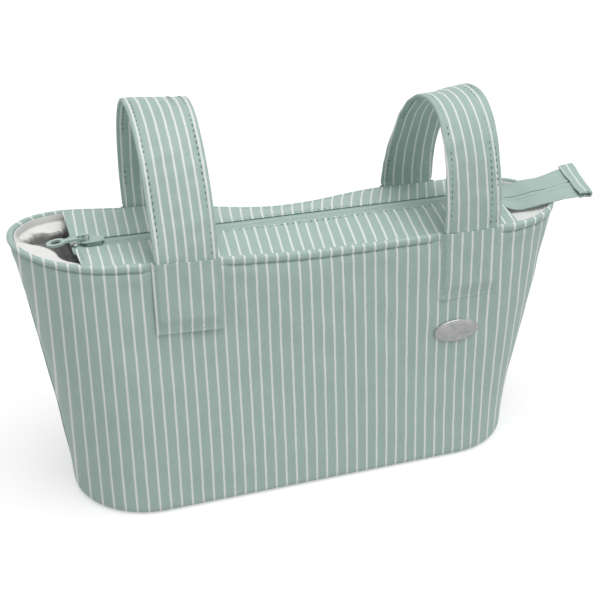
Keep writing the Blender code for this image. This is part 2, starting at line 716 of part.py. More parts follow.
def build():
    clear_scene()
    striped = material("coated cloth", (0.355, 0.535, 0.472), 0.55)
    white = material("satin lining", (0.80, 0.80, 0.79), 0.45)
    board = material("stiffening board", (0.30, 0.31, 0.30), 0.7)
    tape = material("zip tape", (0.330, 0.490, 0.430), 0.75)
    coil = material("zip coil", (0.330, 0.490, 0.430), 0.45)
    enamel = material("enamelled zinc", (0.320, 0.470, 0.415), 0.35)
    steel = material("polished steel", (0.72, 0.72, 0.72), 0.12, 1.0)

    front = side_panel("front_panel", -1, striped)
    side_panel("back_panel", 1, striped)
    edge = -BASE_EDGE_RADIUS + (BASE_EDGE_RADIUS - CLOTH) * math.sin(TURNED_UNDER) - GAP
    base_plate("base_panel", edge, 0.0, CLOTH, striped)
    base_plate("base_board", edge - CLOTH, CLOTH + GAP, CLOTH + GAP + BOARD, board)
    lining(white)

    sewn = np.concatenate([np.linspace(TAPE_LEFT, ZIP_PANEL_RIGHT, 15), [TAIL_START]])
    tail = tail_stations(TAIL_START + GAP, TAPE_RIGHT)
    for name, side in (("front", -1), ("back", 1)):
        zip_panel(f"zip_panel_{name}", side, striped)
        zip_tape(f"zip_tape_{name}", side, sewn, tape)
        zip_tape(f"zip_tail_{name}", side, tail, tape)
        zip_coil(f"zip_coil_{name}", side, coil)
        zip_stop(f"zip_stop_{name}", side, steel)
    zip_end_tab(striped)
    plate_top = zip_slider(enamel)
    pivot_height = plate_top + BAIL_CLEAR_HEIGHT - PULL_THICKNESS / 2 - PULL_BAR / 2
    zip_pull((SLIDER_X - BAIL_SETBACK, ZIP_SHIFT, pivot_height), enamel)

    left_lean = (STRAP_LEFT_LEAN, STRAP_LEFT_TWIST, STRAP_LEFT_SKEW)
    right_lean = (STRAP_RIGHT_LEAN, STRAP_RIGHT_TWIST, STRAP_RIGHT_SKEW)
    strap("left_strap", STRAP_LEFT_X, (STRAP_LEFT_RISE, STRAP_LEFT_TILT, *left_lean), striped)
    strap("right_strap", STRAP_RIGHT_X, (STRAP_RIGHT_RISE, STRAP_RIGHT_TILT, *right_lean), striped)
    for name, centre in (("left", STRAP_LEFT_X), ("right", STRAP_RIGHT_X)):
        patch(f"patch_front_{name}", centre, -1, striped)
        patch(f"patch_back_{name}", centre, 1, striped)
    badge(front, steel, steel)


build()
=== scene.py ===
import math

import bmesh
import bpy
import numpy as np
from mathutils import Matrix, Vector


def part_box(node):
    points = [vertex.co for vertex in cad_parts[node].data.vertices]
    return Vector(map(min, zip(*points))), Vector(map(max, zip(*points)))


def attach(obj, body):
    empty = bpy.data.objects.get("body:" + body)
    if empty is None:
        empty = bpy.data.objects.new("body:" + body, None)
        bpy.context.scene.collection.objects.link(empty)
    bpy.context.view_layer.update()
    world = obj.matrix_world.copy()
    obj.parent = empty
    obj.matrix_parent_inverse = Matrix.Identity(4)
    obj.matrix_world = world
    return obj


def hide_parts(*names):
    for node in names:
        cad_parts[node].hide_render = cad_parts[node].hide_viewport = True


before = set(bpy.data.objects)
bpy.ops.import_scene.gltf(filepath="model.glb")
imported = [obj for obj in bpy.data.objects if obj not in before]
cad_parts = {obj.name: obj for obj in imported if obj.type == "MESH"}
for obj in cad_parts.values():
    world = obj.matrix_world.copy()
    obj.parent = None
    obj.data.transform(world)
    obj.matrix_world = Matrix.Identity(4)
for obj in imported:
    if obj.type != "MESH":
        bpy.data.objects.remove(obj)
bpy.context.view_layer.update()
print("frame loaded")

# The bag's outline at rim and base, in metres, as its frame has it: +Z up, -Y the front
bag = {
    "rimLength": 0.380, "rimDepthLeft": 0.117, "rimDepthRight": 0.108, "rimHeight": 0.1754,
    "baseLength": 0.3224, "baseDepthLeft": 0.118, "baseDepthRight": 0.111, "baseShift": -0.0049,
    "endRoundness": 0.95, "wallFlare": 1.3, "baseEdge": 0.005, "rimSag": 0.0054,
    "rimPinch": 0.0077, "rimLean": 0.006, "endRise": 0.006, "cloth": 0.0016, "seamGap": 0.0003,
    "strapLeft": -0.0878, "strapRight": 0.1059, "patchClear": 0.0235,
}
halfRim = bag["rimLength"] / 2
halfBase = bag["baseLength"] / 2
halfBetween = (bag["strapRight"] - bag["strapLeft"]) / 2


def hump(x):
    # a cosine: 1 midway between the straps, 0 at the straps and beyond them
    return (np.cos(np.pi * np.clip(np.abs(x) / halfBetween, 0, 1)) + 1) / 2


def rimHeight(x):
    # the rim sags between the straps, leans down to the right and rises at both ends
    outward = np.clip((np.abs(x) - halfBetween) / (halfRim - halfBetween), 0, 1)
    level = bag["rimHeight"] - bag["rimLean"] * x / halfRim
    return level - bag["rimSag"] * hump(x) + bag["endRise"] * outward**1.5


def halfDepths(v):
    # half depth at the left and at the right end, straight from base to rim
    left = bag["baseDepthLeft"] + (bag["rimDepthLeft"] - bag["baseDepthLeft"]) * v
    right = bag["baseDepthRight"] + (bag["rimDepthRight"] - bag["baseDepthRight"]) * v
    return left / 2, right / 2


def halfLength(v):
    return halfBase + (halfRim - halfBase) * np.clip(v, 0, None) ** bag["wallFlare"]


def section(share, sine, v):
    # place along the bag and half depth of the outline, at share v of the height
    left, right = halfDepths(v)
    long = halfLength(v)
    radius = bag["endRoundness"] * (left + right) / 2
    x = share * (long - radius) + sine * radius
    along = (x / long + 1) / 2
    return x, left + (right - left) * along - bag["rimPinch"] * hump(x) * v**2


def stacked(x, y, z):
    # points from three coordinates, each a number or an array
    return np.stack(np.broadcast_arrays(x, y, z), axis=-1)


def wallPoints(offset, z, side, samples):
    # the wall moved out by offset along its outline's normal, at absolute heights z
    share, sine, cosine = samples
    rim = rimHeight(section(share, sine, 1.0)[0])
    v = z / rim
    x, depth = section(share, sine, v)
    x = x + bag["baseShift"] * (1 - v) + offset * sine
    return stacked(x, side * (depth + offset) * cosine, z)


def sideDepth(x, z):
    # half depth of the outer face over a place x and a height z
    v = z / rimHeight(x)
    left, right = halfDepths(v)
    long = halfLength(v)
    radius = bag["endRoundness"] * (left + right) / 2
    along = x - bag["baseShift"] * (1 - v)
    over = np.clip((np.abs(along) - long + radius) / radius, 0, 1)
    share = (along / long + 1) / 2
    depth = left + (right - left) * share - bag["rimPinch"] * hump(along) * v**2
    return depth * np.sqrt(1 - over**2)


def halfOutline(straightSteps, endSteps, seam=0.0025):
    # from the left side seam round to the right one: share along the side, sine, cosine
    turn = np.linspace(math.pi / 2 - seam, 0, endSteps, endpoint=False)
    straight = np.linspace(-1, 1, straightSteps)
    share = np.concatenate([-np.ones(endSteps), straight, np.ones(endSteps)])
    sine = np.concatenate([-np.sin(turn), 0 * straight, np.sin(turn[::-1])])
    cosine = np.concatenate([np.cos(turn), 1 + 0 * straight, np.cos(turn[::-1])])
    return share, sine, cosine


def waves(points, length, seed, count=7):
    # soft noise of about unit size: plane waves of nearly one length in random directions
    random = np.random.default_rng(seed)
    total = 0
    for direction in random.normal(size=(count, 3)):
        unit = direction / np.linalg.norm(direction)
        number = 2 * math.pi / (length * random.uniform(0.75, 1.35))
        total = total + np.cos(points @ unit * number + random.uniform(0, 2 * math.pi))
    return total / math.sqrt(count / 2)


def bump(distance, width):
    # a bell curve: 1 at no distance, falling off over width
    return np.exp(-((distance / width) ** 2))


def ease(x, low, high):
    # 0 below low, 1 above high, smooth between them
    t = np.clip((x - low) / (high - low), 0, 1)
    return t * t * (3 - 2 * t)


def signedPower(value, power):
    # a power that keeps its value's sign: below 1 it squares off a circle's sine and cosine
    return np.sign(value) * np.abs(value) ** power


def runAlong(line):
    # length of a line of points up to each of them
    return np.concatenate([[0], np.cumsum(np.linalg.norm(np.diff(line, axis=0), axis=-1))])


def roundedRows(half, radius, count=11):
    # inset and level of each row of a plate's edge, round below and above
    rows = []
    for angle in np.linspace(-math.pi / 2, math.pi / 2, count):
        level = math.copysign(half - radius + radius * abs(math.sin(angle)), angle)
        rows.append((radius * (1 - math.cos(angle)), level))
    return rows


def surface(points, closed=False):
    # faces of rings of points; the last ring joins the first, or else both are capped
    rows, columns = points.shape[:2]
    r = np.arange(rows if closed else rows - 1)[:, None]
    c = np.arange(columns)[None, :]
    down, right = (r + 1) % rows, (c + 1) % columns
    corners = [r * columns + c, r * columns + right, down * columns + right, down * columns + c]
    faces = np.stack(corners, axis=-1).reshape(-1, 4).tolist()
    if not closed:
        faces.append(list(range(columns)))
        faces.append([(rows - 1) * columns + k for k in range(columns)])
    return points.reshape(-1, 3), faces


def addObject(name, data):
    # a new object of the scene
    made = bpy.data.objects.new(name, data)
    bpy.context.scene.collection.objects.link(made)
    return made


def piece(name, parts, finish, body="bag", replaced=(), sharp=55,
          run=None):
    # joins closed surfaces into one object that rides on a body of the frame; run is how far
    # along its stripes' row each point lies
    points = np.concatenate([part[0] for part in parts])
    faces = []
    start = 0
    for own, ownFaces in parts:
        faces += [[start + k for k in face] for face in ownFaces]
        start += len(own)
    mesh = bpy.data.meshes.new(name)
    mesh.from_pydata(points.tolist(), [], faces)
    work = bmesh.new()
    work.from_mesh(mesh)
    bmesh.ops.recalc_face_normals(work, faces=work.faces)
    work.to_mesh(mesh)
    work.free()
    mesh.shade_smooth()
    mesh.set_sharp_from_angle(angle=math.radians(sharp))
    if run is not None:
        along = mesh.attributes.new("stripeRun", "FLOAT", "POINT")
        along.data.foreach_set("value", np.asarray(run, dtype=np.float32).ravel())
    made = addObject(name, mesh)
    mesh.materials.append(finish)
    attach(made, body)
    if replaced:
        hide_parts(*replaced)
    return made


def toLinear(hexColour):
    # sRGB hex to the linear values that shaders take
    channels = np.array([int(hexColour[k:k + 2], 16) for k in (1, 3, 5)]) / 255
    linear = np.where(channels <= 0.04045, channels / 12.92, ((channels + 0.055) / 1.055) ** 2.4)
    return (*linear.tolist(), 1.0)


def node(tree, kind, inputs=None, **settings):
    # adds one node, sets its fields, and fills or links its inputs
    made = tree.nodes.new(kind)
    for field, value in settings.items():
        setattr(made, field, value)
    for key, value in (inputs or {}).items():
        if isinstance(value, bpy.types.NodeSocket):
            tree.links.new(value, made.inputs[key])
        else:
            made.inputs[key].default_value = value
    return made


def calculate(tree, operation, *values):
    # the result of a math node on its values in turn
    return node(tree, "ShaderNodeMath", dict(enumerate(values)), operation=operation).outputs[0]


def noise(tree, place, size, detail, roughness=0.5):
    # soft noise with spots of about one size
    return node(tree, "ShaderNodeTexNoise", {
        "Vector": place, "Scale": 1 / size, "Detail": detail,
        "Roughness": roughness}).outputs["Fac"]


def scaled(tree, place, scale):
    # places stretched by a number on each axis
    return node(tree, "ShaderNodeMapping", {"Vector": place, "Scale": scale}).outputs[0]


def remapped(tree, value, low, high, **settings):
    # 0 at low and 1 at high
    return node(tree, "ShaderNodeMapRange", {
        "Value": value, "From Min": low, "From Max": high}, **settings).outputs[0]


def blended(tree, share, low, high):
    # a colour between two others
    return node(tree, "ShaderNodeMix", {"Factor": share, 6: low, 7: high},
                data_type="RGBA").outputs[2]


def raised(tree, height, strength, distance, **below):
    # a bumped normal, over the Normal given in below
    return node(tree, "ShaderNodeBump", {
        "Height": height, "Strength": strength, "Distance": distance, **below}).outputs[0]


def emptyMaterial(name, roughness, **shaderInputs):
    # a Principled shader with its plain values set on its own sockets, and the object's axes
    made = bpy.data.materials.new(name)
    made.use_nodes = True
    tree = made.node_tree
    shader = tree.nodes["Principled BSDF"]
    shader.inputs["Roughness"].default_value = roughness
    for key, value in shaderInputs.items():
        shader.inputs[key.replace("_", " ")].default_value = value
    return made, tree, shader, node(tree, "ShaderNodeTexCoord").outputs["Object"]


def painted(made, shader, colour, normal):
    # the finished material: its shader takes a colour and a bumped normal
    made.node_tree.links.new(colour, shader.inputs["Base Color"])
    made.node_tree.links.new(normal, shader.inputs["Normal"])
    return made


# Polyurethane-coated cloth, printed in stripes: matt, pebbled, with a fine combed grain; its
# cloud of paler and darker green and its soft creases are wider than a stripe
coatedCloth = {
    "green": "#ABC2BA", "greenDark": "#A3BAB2", "white": "#E6EBE8",
    "stripeHalf": 0.000855, "edgeSoft": 0.00022, "wobble": 0.00022, "wobbleLength": 0.012,
    "fray": 0.00035, "fraySize": 0.0025, "combWidth": 0.0005, "combLength": 0.010,
    "cloudSize": 0.022, "creaseSize": 0.009, "grain": 0.0007, "roughness": 0.52,
}


def coatedClothMaterial(name, pitch, phase, reach=10.0, centre=0.0):
    # stripes stand pitch apart along each piece's own attribute stripeRun, in metres, as far
    # as reach to either side of centre
    look = coatedCloth
    made, tree, shader, place = emptyMaterial(name, look["roughness"], Specular_IOR_Level=0.42)
    run = node(tree, "ShaderNodeAttribute", attribute_name="stripeRun").outputs["Fac"]
    wobble = noise(tree, place, look["wobbleLength"], 2.0, 0.6)
    shift = calculate(tree, "MULTIPLY_ADD", wobble, 2 * look["wobble"], -phase - look["wobble"])
    moved = calculate(tree, "ADD", run, shift)
    turns = calculate(tree, "MULTIPLY_ADD", moved, 1 / pitch, 0.5)
    away = calculate(tree, "SUBTRACT", calculate(tree, "FRACT", turns), 0.5)
    gap = calculate(tree, "ABSOLUTE", away)
    fine = noise(tree, place, look["fraySize"], 1.0)
    worn = calculate(tree, "MULTIPLY_ADD", fine, look["fray"] / pitch, gap)
    stripe = remapped(tree, worn, (look["stripeHalf"] + look["edgeSoft"]) / pitch,
                      (look["stripeHalf"] - look["edgeSoft"]) / pitch,
                      interpolation_type="SMOOTHSTEP")
    distance = calculate(tree, "ABSOLUTE", calculate(tree, "SUBTRACT", run, centre))
    within = calculate(tree, "LESS_THAN", distance, reach)
    printed = calculate(tree, "MULTIPLY", stripe, within)
    combed = scaled(tree, place, (1 / look["combWidth"], 1 / look["combLength"],
                                  1 / look["combLength"]))
    comb = noise(tree, combed, 1.0, 2.0, 0.65)
    cloud = noise(tree, place, look["cloudSize"], 3.0, 0.6)
    mix = calculate(tree, "MULTIPLY_ADD", comb, 0.75, 0.0)
    shade = calculate(tree, "MULTIPLY_ADD", cloud, 0.35, mix)
    green = blended(tree, remapped(tree, shade, 0.38, 0.72), toLinear(look["greenDark"]),
                    toLinear(look["green"]))
    colour = blended(tree, printed, green, toLinear(look["white"]))
    pebble = node(tree, "ShaderNodeTexVoronoi", {"Vector": place, "Scale": 1 / look["grain"]},
                  feature="SMOOTH_F1").outputs["Distance"]
    crease = noise(tree, place, look["creaseSize"], 4.0, 0.62)
    height = calculate(tree, "MULTIPLY_ADD", comb, 0.30, pebble)
    fineBump = raised(tree, height, 0.35, 0.00008)
    return painted(made, shader, colour, raised(tree, crease, 0.5, 0.0008, Normal=fineBump))


# White polyester satin lining: smooth floats of thread, soft sheen, and painted shade that greys it
# slightly in the hollows of its folds
liningSatin = {"white": "#F5F5F3", "foldShadeGrey": "#ECEBE9", "thread": 0.00045, "cloudSize": 1 / 60}


def liningSatinMaterial():
    look = liningSatin
    made, tree, shader, place = emptyMaterial("wovenSatinLining", 0.42, Sheen_Weight=0.15,
                                              Specular_IOR_Level=0.45)
    thread = 1 / look["thread"]
    floats = noise(tree, scaled(tree, place, (thread, thread, thread / 6)), 1.0, 2.0)
    cloud = noise(tree, place, look["cloudSize"], 3.0)
    # painted shade: the cloud that bumps the folds also greys their hollows
    foldShadedTint = blended(tree, cloud, toLinear(look["foldShadeGrey"]), toLinear(look["white"]))
    creased = raised(tree, cloud, 0.6, 0.0016)
    return painted(made, shader, foldShadedTint, raised(tree, floats, 0.25, 0.0001, Normal=creased))


# Woven polyester zip tape, dyed to match: ribs of thread across, drawn wider than the real
# 0.3 mm, and a warp along the tape
zipTape = {"green": "#AFC6BE", "greenDark": "#A2B9B1", "rib": 0.0006,
           "warp": (400.0, 2500.0, 2500.0)}


def zipTapeMaterial():
    look = zipTape
    made, tree, shader, place = emptyMaterial("wovenZipTape", 0.72, Sheen_Weight=0.2)
    rib = node(tree, "ShaderNodeTexWave", {
        "Vector": place, "Scale": math.pi / 20 / look["rib"], "Distortion": 0.4,
        "Detail": 1.0}, wave_type="BANDS", bands_direction="X").outputs["Fac"]
    threads = noise(tree, scaled(tree, place, look["warp"]), 1.0, 2.0)
    both = calculate(tree, "MULTIPLY_ADD", rib, 0.4, threads)
    colour = blended(tree, remapped(tree, both, 0.3, 1.0), toLinear(look["greenDark"]),
                     toLinear(look["green"]))
    return painted(made, shader, colour, raised(tree, both, 0.4, 0.00012))


def plainMaterial(name, low, high, roughness, spots, depth, **shaderInputs):
    # a colour that varies softly between two hex values, with a shallow bump of one size
    made, tree, shader, place = emptyMaterial(name, roughness, **shaderInputs)
    spotted = noise(tree, place, spots, 3.0, 0.55)
    rough = node(tree, "ShaderNodeMapRange", {
        "Value": spotted, "To Min": 0.85 * roughness, "To Max": 1.15 * roughness})
    tree.links.new(rough.outputs[0], shader.inputs["Roughness"])
    return painted(made, shader, blended(tree, spotted, toLinear(low), toLinear(high)),
                   raised(tree, spotted, 0.3, depth))


bodyStripes = {"pitch": 0.0074, "phase": -0.0202, "reach": 0.204}
zipStripes = {"pitch": 0.00712, "phase": -0.0283}
leftStripes = {"pitch": 0.00595, "phase": -0.0877}
rightStripes = {"pitch": 0.0073, "phase": 0.1187}
tabStripes = {"pitch": 0.0074, "phase": 0.2068, "reach": 0.0056, "centre": 0.2105}
stripedCloth = coatedClothMaterial("coatedClothStriped", **bodyStripes)
zipPanelCloth = coatedClothMaterial("coatedClothZipPanel", **zipStripes)
leftStrapCloth = coatedClothMaterial("coatedClothLeftStrap", **leftStripes)
rightStrapCloth = coatedClothMaterial("coatedClothRightStrap", **rightStripes)
tabCloth = coatedClothMaterial("coatedClothTab", **tabStripes)
satin = liningSatinMaterial()
tapeCloth = zipTapeMaterial()
# Twisted polyester thread: dull, darker than the cloth because it sits in its own shadow
threadGreen = plainMaterial("twistedPolyesterThread", "#54736A", "#62827A", 0.6, 0.0006,
                            0.0001)
threadPale = plainMaterial("twistedPaleThread", "#90AAA0", "#9AB3A9", 0.6, 0.0006, 0.0001)
# Stove enamel on cast zinc: an even glossy film that rounds the edges
enamel = plainMaterial("enamelledZinc", "#98B3A9", "#A1BBB1", 0.32, 0.004, 0.00005,
                       Coat_Weight=0.35, Coat_Roughness=0.12)
# Pressed steel, nickel plated and polished: a mirror with faint polishing swirls
polishedSteel = plainMaterial("polishedNickelPlate", "#B9BABC", "#C6C7C9", 0.09, 0.006, 0.00003,
                              Metallic=1.0)
# The badge is the same plate, a little rougher, its colour darkened as a painted reflection of dark
# surroundings, so it shows greyer than the stops
badgeSteelPaintedDark = plainMaterial("nickelPlatePaintedDarkReflection", "#868887", "#B2B3B2", 0.16, 0.005, 0.00006,
                          Metallic=1.0)
# Pressed paper board: dull, with short fibres
paperBoard = plainMaterial("pressedPaperBoard", "#8A8C88", "#96988F", 0.85, 0.0015, 0.0002)
print("materials ready")

# Patches: cloth covers over the strap ends, sewn down at both sides and along the foot
patchLook = {"half": 0.022, "height": 0.048, "ground": 0.0013, "stand": 0.0034, "cloth": 0.0009,
             "stitchInset": 0.0024, "tuft": 0.00005, "dimple": 0.00014, "soft": 0.00016}

# Zip panels: cloth strips from the hem to the zip, turned over and sewn along the zip
zipLook = {
    "height": 0.1765, "shift": -0.0035, "panelLeft": -0.1505, "panelRight": 0.1445,
    "panelEdge": 0.008, "panelBulge": 0.0006, "panelCloth": 0.0010, "tapeThickness": 0.0006,
    "frontHem": (0.0043, 0.0018), "backHem": (0.0036, 0.0003), "broad": 0.0004,
    "small": 0.00012, "pucker": 0.00008, "zipDimple": 0.00015, "endDimple": 0.0002,
    "tapeLeft": -0.1515, "tapeRight": 0.2195, "tapeHalf": 0.017, "tapeWelt": 0.0002,
    "tapeSoft": 0.00035, "slot": 0.0018, "coilHeight": 0.0018, "tailStart": 0.139,
    "tailRise": 0.0060, "tailDip": 0.003, "tailSwing": 0.012, "tailRoll": math.radians(13),
    "endDroop": 0.0034, "endRoll": math.radians(5), "endTwist": 0.10,
}
tapeTop = zipLook["height"] + zipLook["tapeThickness"] / 2
ridgeHeight = tapeTop + bag["seamGap"] + zipLook["panelCloth"]

# Side panels: printed cloth that turns under at the base and ends in a rolled, sewn rim
panelLook = {
    "straightSteps": 190, "endSteps": 46, "wallRows": 84, "turnUnder": math.radians(15),
    "hemHigh": 0.0054, "hemCentre": -0.00145, "hemHalf": 0.0019, "hemBulge": 0.0010,
    "hemLess": 0.0018, "creaseDeep": 0.0013, "creaseHigh": 0.0022, "pucker": 0.00012,
    "undulation": 0.00055, "ripple": 0.00016, "fullness": 0.0004, "drawn": 0.00025,
}


def hemShare(x):
    # 1 where the rolled rim stands out, 0 where a patch presses it flat
    share = np.ones_like(x)
    for centre in (bag["strapLeft"], bag["strapRight"]):
        share = np.minimum(share, ease(np.abs(x - centre), bag["patchClear"],
                                       bag["patchClear"] + 0.006))
    return share


# Stripes on the walls are packed at the left end and spread at the right one; on the zip
# panels they lean, most along the back one, from where the panels turn
stripeLook = {
    "packFrom": 0.142, "pack": 0.12, "spreadFrom": 0.119, "spread": 0.16,
    "zipPackFrom": 0.10, "zipPack": 0.07, "turnAt": -0.06, "leanFrom": 0.0045,
    "frontLean": 0.12, "frontLess": 0.84, "frontShift": 0.0028,
    "backLean": 0.15, "backLess": 1.1, "backMore": 2.0, "past": (-0.1460, -0.1476, 0.85),
}


def wallRun(x):
    # the wall's stripes stand in planes of one x
    packed = stripeLook["pack"] * np.clip(-x - stripeLook["packFrom"], 0, None)
    return x - packed - stripeLook["spread"] * np.clip(x - stripeLook["spreadFrom"], 0, None)


def zipRun(x, y):
    # the zip panels' stripes lean forward to the left, and more and more along the back one
    look = stripeLook
    packed = look["zipPack"] * np.clip(-x - look["zipPackFrom"], 0, None)
    leftward = np.clip(look["turnAt"] - x, 0, 0.08)
    rightward = np.clip(x - look["turnAt"], 0, 0.14)
    back = look["backLean"] + look["backMore"] * rightward - look["backLess"] * leftward
    front = look["frontLean"] - look["frontLess"] * leftward
    lean = np.where(y > 0, back, front) * (y - look["leanFrom"] * np.sign(y))
    return x - packed - lean + np.where(y > 0, 0, look["frontShift"])


def wallRelief(points, rim, side):
    # outward relief of a soft wall: broad undulation, small ripples, fullness below the hem
    x, z = points[..., 0], points[..., 2]
    free = ease(z, 0.008, 0.028) * (1 - ease(z, rim - 0.018, rim - 0.0075))
    broad = waves(points * np.array([1, 1, 0.55]), 0.075, 11 + side)
    small = waves(points * np.array([1, 1, 0.6]), 0.017, 23 + side)
    relief = free * (panelLook["undulation"] * broad + panelLook["ripple"] * small)
    relief = relief + panelLook["fullness"] * bump(rim - z - 0.0110, 0.0035) * hemShare(x)
    for centre in (bag["strapLeft"], bag["strapRight"]):
        # the cloth is drawn in below the corners of each patch
        corner = np.abs(np.abs(x - centre) - patchLook["half"])
        foot = rim - patchLook["height"] - z
        drawn = bump(corner, 0.004) * ease(foot, -0.004, 0.002) * (1 - ease(foot, 0.004, 0.034))
        relief = relief - panelLook["drawn"] * drawn
    return relief


def sidePanel(name, side, nodeName):
    look = panelLook
    samples = halfOutline(look["straightSteps"], look["endSteps"])
    topX = section(samples[0], samples[1], 1.0)[0]
    rim = rimHeight(topX)
    bulge = look["hemBulge"] * hemShare(topX)
    edge = bag["baseEdge"]
    hemHigh = look["hemHigh"] - look["hemLess"] * ease(-topX, 0.130, 0.185)
    # rows of offset and height, up the outside, over the rim and down the inside
    rows = [(edge * math.sin(angle) - edge, edge - edge * math.cos(angle))
            for angle in np.linspace(look["turnUnder"], math.pi / 2, 9)]
    rows += [(0, edge + (rim - hemHigh - look["creaseHigh"] - edge) * share)
             for share in np.linspace(0, 1, look["wallRows"] + 1)[1:]]
    crease = look["creaseDeep"] * (0.35 + 0.65 * hemShare(topX))
    rows += [(-crease * deep, rim - hemHigh - below) for below, deep in
             ((0.0014, 0.12), (0.0008, 0.45), (0.0003, 0.9), (-0.0001, 1.0))]
    pucker = look["pucker"] * waves(stacked(topX, 0, 0), 0.006, 5)
    high = hemHigh / 2
    for angle in np.linspace(math.radians(-62), math.radians(248), 28):
        c, s = math.cos(angle), math.sin(angle)
        reach = np.where(c > 0, -look["hemCentre"] + bulge, look["hemHalf"])
        out = look["hemCentre"] + reach * signedPower(c, 0.75) + pucker * ease(-s, 0.1, 0.8)
        rows.append((out, rim - high + high * signedPower(s, 0.9)))
    outerRows = len(rows)
    rows += [(-bag["cloth"], edge + (rim - 0.0075 - edge) * share) for share in (0.95, 0.6, 0.3)]
    inner = edge - bag["cloth"]
    rows += [(inner * math.sin(angle) - edge, edge - inner * math.cos(angle))
             for angle in np.linspace(math.pi / 2, look["turnUnder"], 5)]
    offsets, heights = [np.array([part + 0 * rim for part in column]) for column in zip(*rows)]
    flat = wallPoints(offsets, heights, side, samples)
    relief = wallRelief(flat, rim[None, :], side)
    relief[outerRows:] = 0
    points = wallPoints(offsets + relief, heights, side, samples)
    run = wallRun(points[..., 0])
    if side > 0:
        # along the back the rim takes the zip panel's stripes, which run out over it
        onPanel = ((topX > zipLook["panelLeft"]) & (topX < zipLook["panelRight"])) * 1.0
        origin, start, stretch = stripeLook["past"]
        past = origin + (topX - start) * stretch
        ratio = bodyStripes["pitch"] / zipStripes["pitch"]
        own = zipRun(topX, points[..., 1]) - zipStripes["phase"]
        shared = own * ratio + bodyStripes["phase"]
        atTop = ease(heights, rim - hemHigh - 0.0010, rim - hemHigh)
        ended = np.where(topX[None, :] < -0.12, past, run)
        run = run + atTop * (shared * onPanel + ended * (1 - onPanel) - run)
    return piece(name, [surface(points.transpose(1, 0, 2))], stripedCloth, replaced=[nodeName],
                 sharp=75, run=run.T)


# each side is cut as a trapezium and sewn, so its cloth hangs stretched between rim and base
for name, side, nodeName in (("frontSidePanel", -1, "front_panel"),
                             ("backSidePanel", 1, "back_panel")):
    sidePanel(name, side, nodeName)
print("side panels made")

# Base: one flat striped cloth inside the turned-under edge
baseLook = {"inset": -0.0042, "rows": 26}


def baseCloth():
    # rings of the outline from the middle line out to the edge, top and bottom face
    samples = halfOutline(90, 26)
    low = wallPoints(baseLook["inset"], 0.00001, -1, samples)
    high = wallPoints(baseLook["inset"], 0.00001, 1, samples)
    across = np.linspace(0, 1, baseLook["rows"])[:, None, None]
    sheet = low[None] + (high - low)[None] * across
    sheet[..., 2] = 0
    upper = sheet[::-1].copy()
    upper[..., 2] = bag["cloth"]
    loop = np.concatenate([sheet, upper], axis=0).transpose(1, 0, 2)
    return piece("baseCloth", [surface(loop)], stripedCloth, replaced=["base_panel"],
                 run=wallRun(loop[..., 0]))


baseCloth()


def zipPanelTop(x, s, side):
    # half depth and height of a zip panel's upper face, from the zip (0) to the hem (1)
    rim = rimHeight(x)
    gap, drop = zipLook["backHem"] if side > 0 else zipLook["frontHem"]
    outer = sideDepth(x, rim) - gap
    edge = zipLook["panelEdge"] + side * zipLook["shift"]
    last = rim - drop
    z = ridgeHeight + (last - ridgeHeight) * s + zipLook["panelBulge"] * np.sin(np.pi * s)
    return edge + (outer - edge) * s, z


def edgeRound(distance, radius):
    # share of the thickness left at a distance from a rounded edge
    inside = np.clip(distance / radius, 0, 1)
    return np.sqrt(np.clip(1 - (1 - inside) ** 2, 0.0025, 1))


def zipPanel(name, side, nodeName):
    half = zipLook["panelCloth"] / 2
    left, right = zipLook["panelLeft"], zipLook["panelRight"]
    near = np.array([0, 0.0001, 0.0003, 0.0006, 0.001, 0.0016])
    x = np.concatenate([left + near, np.linspace(left + 0.0024, right - 0.0024, 230),
                        (right - near)[::-1]])
    s = np.concatenate([[0, 0.002, 0.006, 0.012, 0.02], np.linspace(0.03, 1, 40)])
    gridX, gridS = np.meshgrid(x, s, indexing="ij")
    y, z = zipPanelTop(gridX, gridS, side)
    fromZip = y - zipLook["panelEdge"] - side * zipLook["shift"]
    fromEnd = np.minimum(gridX - left, right - gridX)
    flat = stacked(gridX, side * y, z)
    # soft cloth between its seams, drawn in along both rows of stitches
    free = ease(fromZip, 0.002, 0.008) * (1 - ease(gridS, 0.86, 0.98))
    relief = free * (zipLook["broad"] * waves(flat, 0.045, 41 + side)
                     + zipLook["small"] * waves(flat, 0.014, 47))
    relief = relief - zipLook["zipDimple"] * bump(fromZip - 0.0024, 0.0005)
    relief = relief - zipLook["endDimple"] * bump(fromEnd - 0.0026, 0.0006)
    pucker = zipLook["pucker"] * waves(flat, 0.0075, 53)
    relief = relief + pucker * bump(fromZip - 0.003, 0.003)
    full = edgeRound(fromZip, 0.0005) * edgeRound(fromEnd, 0.0005)
    top, under = flat.copy(), flat.copy()
    top[..., 2] += -half + half * full + relief
    under[..., 2] += -half - half * full
    loop = np.concatenate([top, under[:, ::-1]], axis=1)
    return piece(name, [surface(loop)], zipPanelCloth, replaced=[nodeName], sharp=75,
                 run=zipRun(loop[..., 0], loop[..., 1]))


zipPanel("frontZipPanel", -1, "zip_panel_front")
zipPanel("backZipPanel", 1, "zip_panel_back")


def zipPoint(x, y, lift):
    # a point of the zip; its tail rolls to the front, dips, and swings forward over its end
    look = zipLook
    along = np.clip((x - look["tailStart"]) / (look["tapeRight"] - look["tailStart"]), 0, 1)
    late = np.clip((along - 0.62) / 0.38, 0, 1) ** 1.3
    roll = look["tailRoll"] * ease(4 * along, 0, 1) + look["endRoll"] * late
    dip = look["tailDip"] * np.sin(np.pi * np.clip(2.2 * along, 0, 1)) ** 2
    middle = look["shift"] - look["tailSwing"] * np.sin(np.pi * along) ** 1.4
    z = look["height"] + look["tailRise"] * along - dip - look["endDroop"] * late
    turned = y * np.cos(roll) - lift * np.sin(roll)
    far = x + look["endTwist"] * late * (y - look["tapeHalf"])
    return stacked(far, middle + turned, z + y * np.sin(roll) + lift * np.cos(roll))


